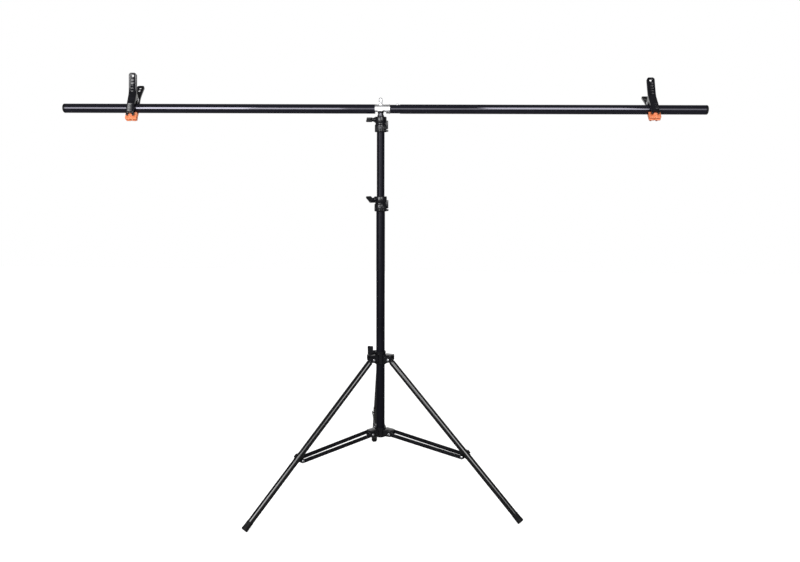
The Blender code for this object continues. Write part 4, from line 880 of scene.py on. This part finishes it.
def make_cap_nut():
    """A tall cap nut: six flats with chamfered corners, a flange, and a domed cap."""
    low = 0.0141
    cap = turned("tall_cap_nut", [(0.0048, low + 0.0060), (0.0058, low + 0.0072), (0.0056, low + 0.0150),
                                  (0.0050, low + 0.0178), (0.0036, low + 0.0194), (0.0018, low + 0.0200)],
                 40)
    hexagon = turned("hexagon", [(0.0058, low + 0.0012), (0.0063, low + 0.0018), (0.0063, low + 0.0080),
                                 (0.0056, low + 0.0088)], 6)
    flange = turned("flange", [(0.0058, low), (0.0063, low + 0.0004), (0.0063, low + 0.0012),
                               (0.0060, low + 0.0016)], 48)
    cut(cap, [hexagon, flange], "UNION")
    thread = peg("thread_bore", 0.0051, low - 0.01, low + 0.0126)
    cut(cap, [thread])
    finish(moved(cap, BAR), BRIGHT_CASTING, "cap_nut", "bright_chrome", "cap_nut")


def make_sleeve(stub):
    """The coupling sleeve and its snap button, a dome that stands in a round hole."""
    bore = stub - SLEEVE_WALL
    start = FITTING_RIGHT + FIT
    rings = tube_rings(stub, bore, start + SLEEVE_LENGTH, start, 0.0004)
    sleeve = turned("coupling_tube", rings, 64, through=True)
    cut(moved(sleeve, ALONG_BAR),
        [moved(peg("button_hole", 0.0043, 0.0, 0.03), shift(BUTTON_PLACE, 0, 0))])
    finish(moved(sleeve, BAR), BAR_TUBE, "t_fitting", "black_tube", "coupling_sleeve")
    button = turned("spring_snap_button", [(0.0036, stub - 0.0046), (0.0040, stub - 0.0042),
                                           (0.0040, stub), (0.0039, stub + 0.0009),
                                           (0.0034, stub + 0.0018), (0.0025, stub + 0.0026),
                                           (0.0012, stub + 0.0030)], 32)
    finish(moved(button, BAR @ shift(BUTTON_PLACE, 0, 0)), BRIGHT_CASTING, "snap_button", "bright_chrome",
           "snap_button")


def make_arms():
    """The two arms of the crossbar, each with a ribbed, slightly domed end cap."""
    bore = BAR_RADIUS - BAR_WALL
    for label, side, start in (("left", -1, FITTING_LEFT), ("right", 1, 0.0598)):
        along = BAR @ turn(side * pi / 2, "Y")
        tube = turned(f"{label}_bar_tube", tube_rings(BAR_RADIUS, bore, 0.9925, start + FIT), 64,
                      through=True)
        finish(moved(tube, along), BAR_TUBE, f"{label}_arm", "black_tube", f"crossbar_{label}")
        rings = [(bore - 0.0012, 0.9725), (bore - FIT, 0.9735), (bore - FIT, 0.9780),
                 (bore - 0.0010, 0.9786), (bore - 0.0010, 0.9810), (bore - FIT, 0.9816),
                 (bore - FIT, 0.9928), (BAR_RADIUS - 0.0003, 0.9928), (BAR_RADIUS, 0.9931),
                 (BAR_RADIUS, 0.9974), (BAR_RADIUS - 0.0005, 0.9988), (BAR_RADIUS - 0.0016, 0.9997),
                 (0.0105, 1.0000), (0.0100, 0.9994), (0.0092, 0.9994), (0.0086, 0.9999), (0.0040, 1.0)]
        cap = turned(f"{label}_bar_end_cap", rings, 64)
        finish(moved(cap, along), NYLON, f"{label}_arm", "black_plastic", f"bar_cap_{label}")


# Spring clamps

def lever_line():
    """Smooth centre line of the front lever in the clamp's (Y, Z), from the handle's top to the jaw's
    tip."""
    along = Vector((-sin(SPLAY), cos(SPLAY)))
    outward = Vector((-cos(SPLAY), -sin(SPLAY)))
    pivot = Vector((0, JAW_PIVOT_HEIGHT))
    round_bar = BAR_RADIUS + 0.0004 + LEVER_HALF
    tip_y = -(PAD_OUT + LEVER_HALF)
    points = [pivot + along * HANDLE_LENGTH + outward * 0.0138,
              pivot + along * HANDLE_LENGTH * 0.62 + outward * 0.0120,
              pivot + along * HANDLE_LENGTH * 0.24 + outward * 0.0120,
              Vector((-round_bar * 0.94, JAW_PIVOT_HEIGHT * 0.72)),
              Vector((-round_bar, JAW_PIVOT_HEIGHT * 0.10)),
              Vector((-round_bar * 0.95, -PAD_DROP * 0.42)), Vector((tip_y * 1.12, -PAD_DROP * 0.86)),
              Vector((tip_y, -PAD_DROP * 1.12))]
    return curved(points, 5)


LEVER_LINE = lever_line()


def line_run(start, end, steps):
    """Points of the lever's line between two distances from the handle's top."""
    lengths = [0.0]
    for near, far in zip(LEVER_LINE, LEVER_LINE[1:]):
        lengths.append(lengths[-1] + (far - near).length)
    run = []
    for step in range(steps + 1):
        wanted = start + (end - start) * step / steps
        index = max(place for place, length in enumerate(lengths[:-1]) if length <= wanted)
        share = (wanted - lengths[index]) / (lengths[index + 1] - lengths[index])
        run.append(LEVER_LINE[index].lerp(LEVER_LINE[index + 1], share))
    return run


def strip_outline(line, outer, inner, flip):
    """Outline of a bent strip that stands out from its line by two distances, towards and away from the
    bar."""
    near = []
    far = []
    for index, point in enumerate(line):
        run = (line[min(index + 1, len(line) - 1)] - line[max(index - 1, 0)]).normalized()
        normal = Vector((run.y, -run.x))
        near.append(point - normal * inner)
        far.append(point + normal * outer)
    return [(flip * y, z) for y, z in near + far[::-1]]


def lever_form(name, flip, ear_face, holes, first_rib, rib_count):
    """A moulded lever in the clamp's frame: a bent strip with a channel down the handle, round ribs
    across the channel and ratchet teeth across the jaw, ears for the pin, hang holes below the rounded
    top and a fork at the tip."""
    lever = plate(name, strip_outline(LEVER_LINE, LEVER_HALF, LEVER_HALF, flip), JAW_WIDTH)
    soften(lever, 0.0033, 4, 60)
    moved(lever, LYING)
    ear = [(0.0082 * cos(angle), JAW_PIVOT_HEIGHT + 0.0082 * sin(angle))
           for angle in (radians(100 - 12.5 * step) for step in range(17))]
    ear += [(-0.0150, JAW_PIVOT_HEIGHT - 0.0110), (-0.0125, JAW_PIVOT_HEIGHT + 0.0150)]
    ear = [(flip * y, z) for y, z in ear]
    ears = [moved(plate("ear", ear, LEVER_EAR), shift(side * (ear_face - LEVER_EAR / 2), 0, 0) @ LYING)
            for side in (-1, 1)]
    cut(lever, ears, "UNION")
    cuts = []
    for start, end, outer, inner, margin in ((0.0045, 0.0640, 0.0060, -0.0006, 0.0055),
                                             (0.0040, 0.0500, -0.0016, 0.0060, 0.0024)):
        channel = plate("channel", strip_outline(line_run(start, end, 12), outer, inner, flip),
                        JAW_WIDTH - 2 * margin)
        cuts.append(moved(channel, LYING))
    for index, tilt in enumerate((24, 21, 18, 15, 12, 10)):
        top = 0.1030 + 0.0044 * index
        run = line_run(top, top + 0.0040, 2)
        down = (run[2] - run[0]).normalized()
        out = Vector((down.y, -down.x))
        depth = 0.0040 * sin(radians(tilt))
        tooth = [run[0] + out * (LEVER_HALF + 0.0001), run[2] + out * (LEVER_HALF + 0.0020),
                 run[2] + out * (LEVER_HALF - depth), run[0] + out * (LEVER_HALF - 0.0001)]
        cuts.append(moved(plate("tooth", [(flip * y, z) for y, z in tooth], JAW_WIDTH - 0.0056), LYING))
    handle = shift(0, 0, JAW_PIVOT_HEIGHT) @ turn(flip * SPLAY, "X")
    half = JAW_WIDTH / 2
    top = HANDLE_LENGTH + 0.0002
    arc = [(half - 0.0100 + 0.0100 * cos(angle), top - 0.0100 + 0.0100 * sin(angle))
           for angle in (radians(11.25 * step) for step in range(9))]
    for side in (-1, 1):
        beyond = [(half - 0.0100, top + 0.004), (half + 0.004, top + 0.004)]
        corner = [(side * x, z) for x, z in [(half + 0.004, top - 0.0100)] + arc + beyond]
        cuts.append(moved(plate("corner", corner, 0.0600), handle @ STANDING))
    for place in holes:
        cuts.append(moved(peg("hang_hole", 0.0036, -0.03, 0.03),
                          handle @ shift(0, -flip * 0.0125, HANDLE_LENGTH - place) @ STANDING))
    cuts.append(moved(peg("pin_bore", 0.0033, -0.02, 0.02), shift(0, 0, JAW_PIVOT_HEIGHT) @ ALONG_BAR))
    cuts.append(block("fork", (0.0128, 0.0160, 0.0190),
                      (0, -flip * (PAD_OUT + 0.0040), -PAD_DROP - 0.0050), 0.0015))
    cut(lever, cuts)
    ribs = []
    for index in range(rib_count):
        run = line_run(first_rib + 0.0092 * index, first_rib + 0.0002 + 0.0092 * index, 1)
        down = (run[1] - run[0]).normalized()
        centre = run[0] + Vector((down.y, -down.x)) * 0.0010
        rib = peg("rib", 0.0021, -JAW_WIDTH / 2 + 0.0015, JAW_WIDTH / 2 - 0.0015, 16)
        ribs.append(moved(rib, shift(0, flip * centre.x, centre.y) @ ALONG_BAR))
    cut(lever, ribs, "UNION")
    return soften(lever, 0.0007, 2, 40)


def pad_form(name, flip):
    """A jaw pad about its lug: a rounded plate, gripping grooves on the bar's side, and a lug between
    webs."""
    outline = rounded([(-PAD_WIDTH / 2, -PAD_HEIGHT / 2, 0.0050), (-0.0028, -PAD_HEIGHT / 2, 0.0014),
                       (0, -PAD_HEIGHT / 2 + 0.0016, 0.0010), (0.0028, -PAD_HEIGHT / 2, 0.0014),
                       (PAD_WIDTH / 2, -PAD_HEIGHT / 2, 0.0050), (PAD_WIDTH / 2, PAD_HEIGHT / 2, 0.0030),
                       (-PAD_WIDTH / 2, PAD_HEIGHT / 2, 0.0030)])
    pad = plate(name, outline, PAD_THICKNESS, 0.0013, 3)
    pad = moved(pad, shift(0, flip * (PAD_BACK + PAD_THICKNESS / 2), 0) @ STANDING)
    boss = turned("lug", [(0.0026, -0.0060), (0.0030, -0.0056), (0.0030, 0.0056), (0.0026, 0.0060)], 32)
    moved(boss, ALONG_BAR)
    web = block("lug_web", (0.0116, 0.0044, 0.0100), (0, flip * 0.0016, 0), 0.0008)
    cut(pad, [boss, web], "UNION")
    chamfer = block("chamfer", (0.05, 0.0100, 0.0150), (0, -flip * 0.0050, 0), 0)
    tilted = shift(0, flip * 0.0028, -0.0040) @ turn(flip * radians(-24), "X") @ shift(0, 0, -0.0075)
    grooves = [moved(chamfer, tilted)]
    for index in range(7):
        height = -0.0090 + 0.0030 * index
        face = flip * (PAD_BACK + PAD_THICKNESS)
        grooves.append(block("groove", (0.05, 0.0016, 0.0011), (0, face, height), 0.0003, 1))
    return cut(pad, grooves)


def spring_form(name):
    """A torsion spring about X: three and a half turns of round wire, with both legs up along the
    handles."""
    coil = 0.0041
    wire = 0.0008
    turns = 3.5
    pitch = 0.0022
    deselect_all()
    bpy.ops.mesh.primitive_circle_add(vertices=12, radius=wire, location=(coil, 0, 0),
                                      rotation=(pi / 2, 0, 0))
    bpy.ops.object.transform_apply(location=True, rotation=True, scale=True)
    spring = bpy.context.object
    spring.name = name
    spring.data.name = name
    apply_modifier(spring, "coil", "SCREW", angle=2 * pi * turns, screw_offset=pitch * turns,
                   iterations=1, steps=int(24 * turns), render_steps=int(24 * turns),
                   use_merge_vertices=True)
    bpy.ops.object.mode_set(mode="EDIT")
    for end in (lambda co: co.x > 0 and abs(co.y) < 0.00001 and co.z < 0.5 * pitch,
                lambda co: co.x < 0 and abs(co.y) < 0.00001 and co.z > pitch * (turns - 0.5)):
        pick_verts(lambda vert: end(vert.co))
        bpy.ops.mesh.extrude_edges_move(TRANSFORM_OT_translate={"value": (0, -0.0105, 0)})
        bpy.ops.mesh.extrude_edges_move(TRANSFORM_OT_translate={"value": (0, -0.0003, 0)})
        bpy.ops.transform.resize(value=(0.6, 1, 0.6))
        bpy.ops.mesh.edge_face_add()
    merge_and_face_out(spring)
    lie = Matrix(((0, 0, 1, 0), (-1, 0, 0, 0), (0, -1, 0, 0), (0, 0, 0, 1)))
    return moved(spring, shift(-pitch * turns / 2, 0, 0) @ lie)


def make_spring_clamps():
    """Two alike, so that each piece is modelled once and copied."""
    front = lever_form("front_lever", 1, 0.0121, (0.0095,), 0.0185, 5)
    rear = lever_form("rear_lever", -1, 0.0085, (0.0125, 0.0250), 0.0350, 3)
    front_pad = pad_form("front_pad", 1)
    rear_pad = pad_form("rear_pad", -1)
    spring = spring_form("torsion_spring")
    pin = moved(headed_pin("clamp_pin", 0.0124, 0.0030, 0.0046, 0.0014), ALONG_BAR)
    for label, place, lean in (("left", -0.7800, 28), ("right", 0.8350, 46)):
        clamp = BAR @ shift(place, 0, 0) @ turn(radians(-lean), "X")
        body = f"clamp_{label}"
        pivot = clamp @ shift(0, 0, JAW_PIVOT_HEIGHT)
        for form, end, rides in ((front, "front", body), (rear, "rear", body + "_rear")):
            lever = moved(copy_of(form, f"{label}_clamp_{end}_lever"), clamp)
            finish(lever, LEVER_NYLON, rides, "black_plastic", f"{body}_{end}_lever")
        for form, end, side in ((front_pad, "front", -1), (rear_pad, "rear", 1)):
            pad_place = clamp @ shift(0, side * PAD_OUT, -PAD_DROP)
            pad = moved(copy_of(form, f"{label}_clamp_{end}_jaw_pad"), pad_place)
            finish(pad, ORANGE_VINYL, f"{body}_{end}_pad", "orange_pad", f"{body}_{end}_pad")
        for form, name, metal, node in ((spring, "torsion_spring", SPRING_STEEL, "spring"),
                                        (pin, "pivot_pin", ZINC, "pin")):
            piece = moved(copy_of(form, f"{label}_clamp_{name}"), pivot)
            finish(piece, metal, body, "bright_chrome", f"{body}_{node}")
    for form in (front, rear, front_pad, rear_pad, spring, pin):
        discard(form)


make_column()
make_column_clamp("middle_tube_clamp", BOTTOM_TOP, BOTTOM_RADIUS, MIDDLE_RADIUS, 0.0055,
                  "middle_clamp_knob_turn", 62, "stand", "middle_clamp")
make_column_clamp("upper_tube_clamp", MIDDLE_TOP, MIDDLE_RADIUS, UPPER_RADIUS, 0.0060,
                  "upper_clamp_knob_turn", 70, "middle_section", "upper_clamp")
make_leg_collar()
make_legs()
make_hub()
make_braces()
make_fitting()
make_arms()
make_spring_clamps()


# Studio

PAPER_WHITE = "E6E6E6"
PANEL_DISTANCE = 2.60


def either_ray(tree, first, second):
    """1 for rays of either kind."""
    path = add_node(tree, "ShaderNodeLightPath")
    seen = add_node(tree, "ShaderNodeMath", [("operation", "MAXIMUM")],
                    [(0, path.outputs[first]), (1, path.outputs[second])])
    return seen.outputs[0], path


def mixed_shaders(tree, factor, first, second):
    return add_node(tree, "ShaderNodeMixShader", (), [(0, factor), (1, first), (2, second)]).outputs[0]


def make_sheet(name, size, place, raised):
    """A plane of the stage, with a material that holds its white paper so far."""
    deselect_all()
    bpy.ops.mesh.primitive_plane_add(size=size, location=place, rotation=(raised, 0, 0))
    sheet = bpy.context.object
    sheet.name = name
    material = bpy.data.materials.new("white_" + name)
    material.use_nodes = True
    tree = material.node_tree
    tree.nodes.clear()
    sheet.data.materials.append(material)
    return tree, add_node(tree, "ShaderNodeBsdfDiffuse", [("Color", srgb(PAPER_WHITE))]).outputs[0]


def make_floor():
    """A white floor that keeps a little of the stand's shadow. It is dim in a gloss, so that the tubes
    keep the black undersides that they have in a dark studio. Its own glow grows from 0.6 to 3.2 m
    behind the stand, where the panels light it less."""
    tree, paper = make_sheet("studio_floor", 30, (0, 0, 0), 0)
    place = add_node(tree, "ShaderNodeSeparateXYZ", (),
                     [(0, add_node(tree, "ShaderNodeTexCoord").outputs["Object"])])
    deeper = add_node(tree, "ShaderNodeMapRange", [(1, 0.6), (2, 3.2), (3, 0.72), (4, 1.0)],
                      [(0, place.outputs["Y"])])
    glow = add_node(tree, "ShaderNodeEmission", [("Color", (1, 1, 1, 1))],
                    [("Strength", deeper.outputs[0])])
    both = add_node(tree, "ShaderNodeAddShader", (), [(0, paper), (1, glow.outputs[0])])
    seen, path = either_ray(tree, "Is Camera Ray", "Is Transmission Ray")
    chosen = mixed_shaders(tree, seen, paper, both.outputs[0])
    dim = add_node(tree, "ShaderNodeEmission", [("Color", (1, 1, 1, 1)), ("Strength", 0.14)])
    chosen = mixed_shaders(tree, path.outputs["Is Glossy Ray"], chosen, dim.outputs[0])
    add_node(tree, "ShaderNodeOutputMaterial", (), [("Surface", chosen)])


def make_backdrop():
    """A white backdrop, as bright as paper to the camera, through glass and in a gloss."""
    tree, paper = make_sheet("studio_backdrop", 10, (0.2, 5, -0.8), pi / 2)
    glow = add_node(tree, "ShaderNodeEmission", [("Color", (1, 1, 1, 1)), ("Strength", 1.0)])
    seen, path = either_ray(tree, "Is Camera Ray", "Is Glossy Ray")
    seen = add_node(tree, "ShaderNodeMath", [("operation", "MAXIMUM")],
                    [(0, seen), (1, path.outputs["Is Transmission Ray"])])
    chosen = mixed_shaders(tree, seen.outputs[0], paper, glow.outputs[0])
    add_node(tree, "ShaderNodeOutputMaterial", (), [("Surface", chosen)])


def make_room():
    """A pale room: a level of 0.26 on the stand, 0.12 in a gloss, and white to the camera and through
    glass."""
    world = bpy.data.worlds.new("pale_studio_room")
    bpy.context.scene.world = world
    world.use_nodes = True
    tree = world.node_tree
    tree.nodes.clear()
    seen, path = either_ray(tree, "Is Camera Ray", "Is Transmission Ray")
    level = add_node(tree, "ShaderNodeMapRange", [(1, 0.0), (2, 1.0), (3, 0.26), (4, 1.0)], [(0, seen)])
    dimmed = weighted(tree, path.outputs["Is Glossy Ray"], -0.14, level.outputs[0])
    room = add_node(tree, "ShaderNodeBackground", [("Color", (1, 1, 1, 1))], [("Strength", dimmed)])
    add_node(tree, "ShaderNodeOutputWorld", (), [("Surface", room.outputs[0])])


def softbox(name, x, z, width, height, power):
    """A soft panel in front of the stand that faces straight back."""
    light = bpy.data.lights.new(name, "AREA")
    light.shape = "RECTANGLE"
    light.size = width
    light.size_y = height
    light.energy = power
    lamp = bpy.data.objects.new(name, light)
    bpy.context.scene.collection.objects.link(lamp)
    lamp.location = (x, -PANEL_DISTANCE, z)
    lamp.rotation_euler = (pi / 2, 0, 0)


def make_camera():
    """The photograph's view: its place, turn and lens were fitted to points of the stand."""
    lens = bpy.data.cameras.new("photograph_view")
    lens.lens = 34.796
    lens.sensor_width = 36
    lens.sensor_fit = "HORIZONTAL"
    lens.clip_end = 60
    camera = bpy.data.objects.new("photograph_view", lens)
    bpy.context.scene.collection.objects.link(camera)
    facing = turn(radians(2.193), "Z") @ turn(radians(80.87), "X") @ turn(radians(0.287), "Z")
    camera.matrix_world = Matrix.Translation((0.15635, -2.54582, 1.1188)) @ facing
    bpy.context.scene.camera = camera


make_floor()
make_backdrop()
make_room()
softbox("left_key", -1.375, 1.60, 0.75, 1.7, 50)
softbox("far_left_panel", -2.03, 1.48, 0.55, 1.45, 14)
softbox("front_left_panel", -0.70, 1.48, 0.60, 1.45, 18)
softbox("front_panel", 0.05, 1.48, 0.90, 1.45, 9)
softbox("right_key", 1.00, 2.20, 1.00, 2.00, 50)
softbox("far_right_panel", 1.85, 1.70, 0.70, 1.40, 6)
make_camera()
bpy.context.scene.view_settings.view_transform = "Standard"
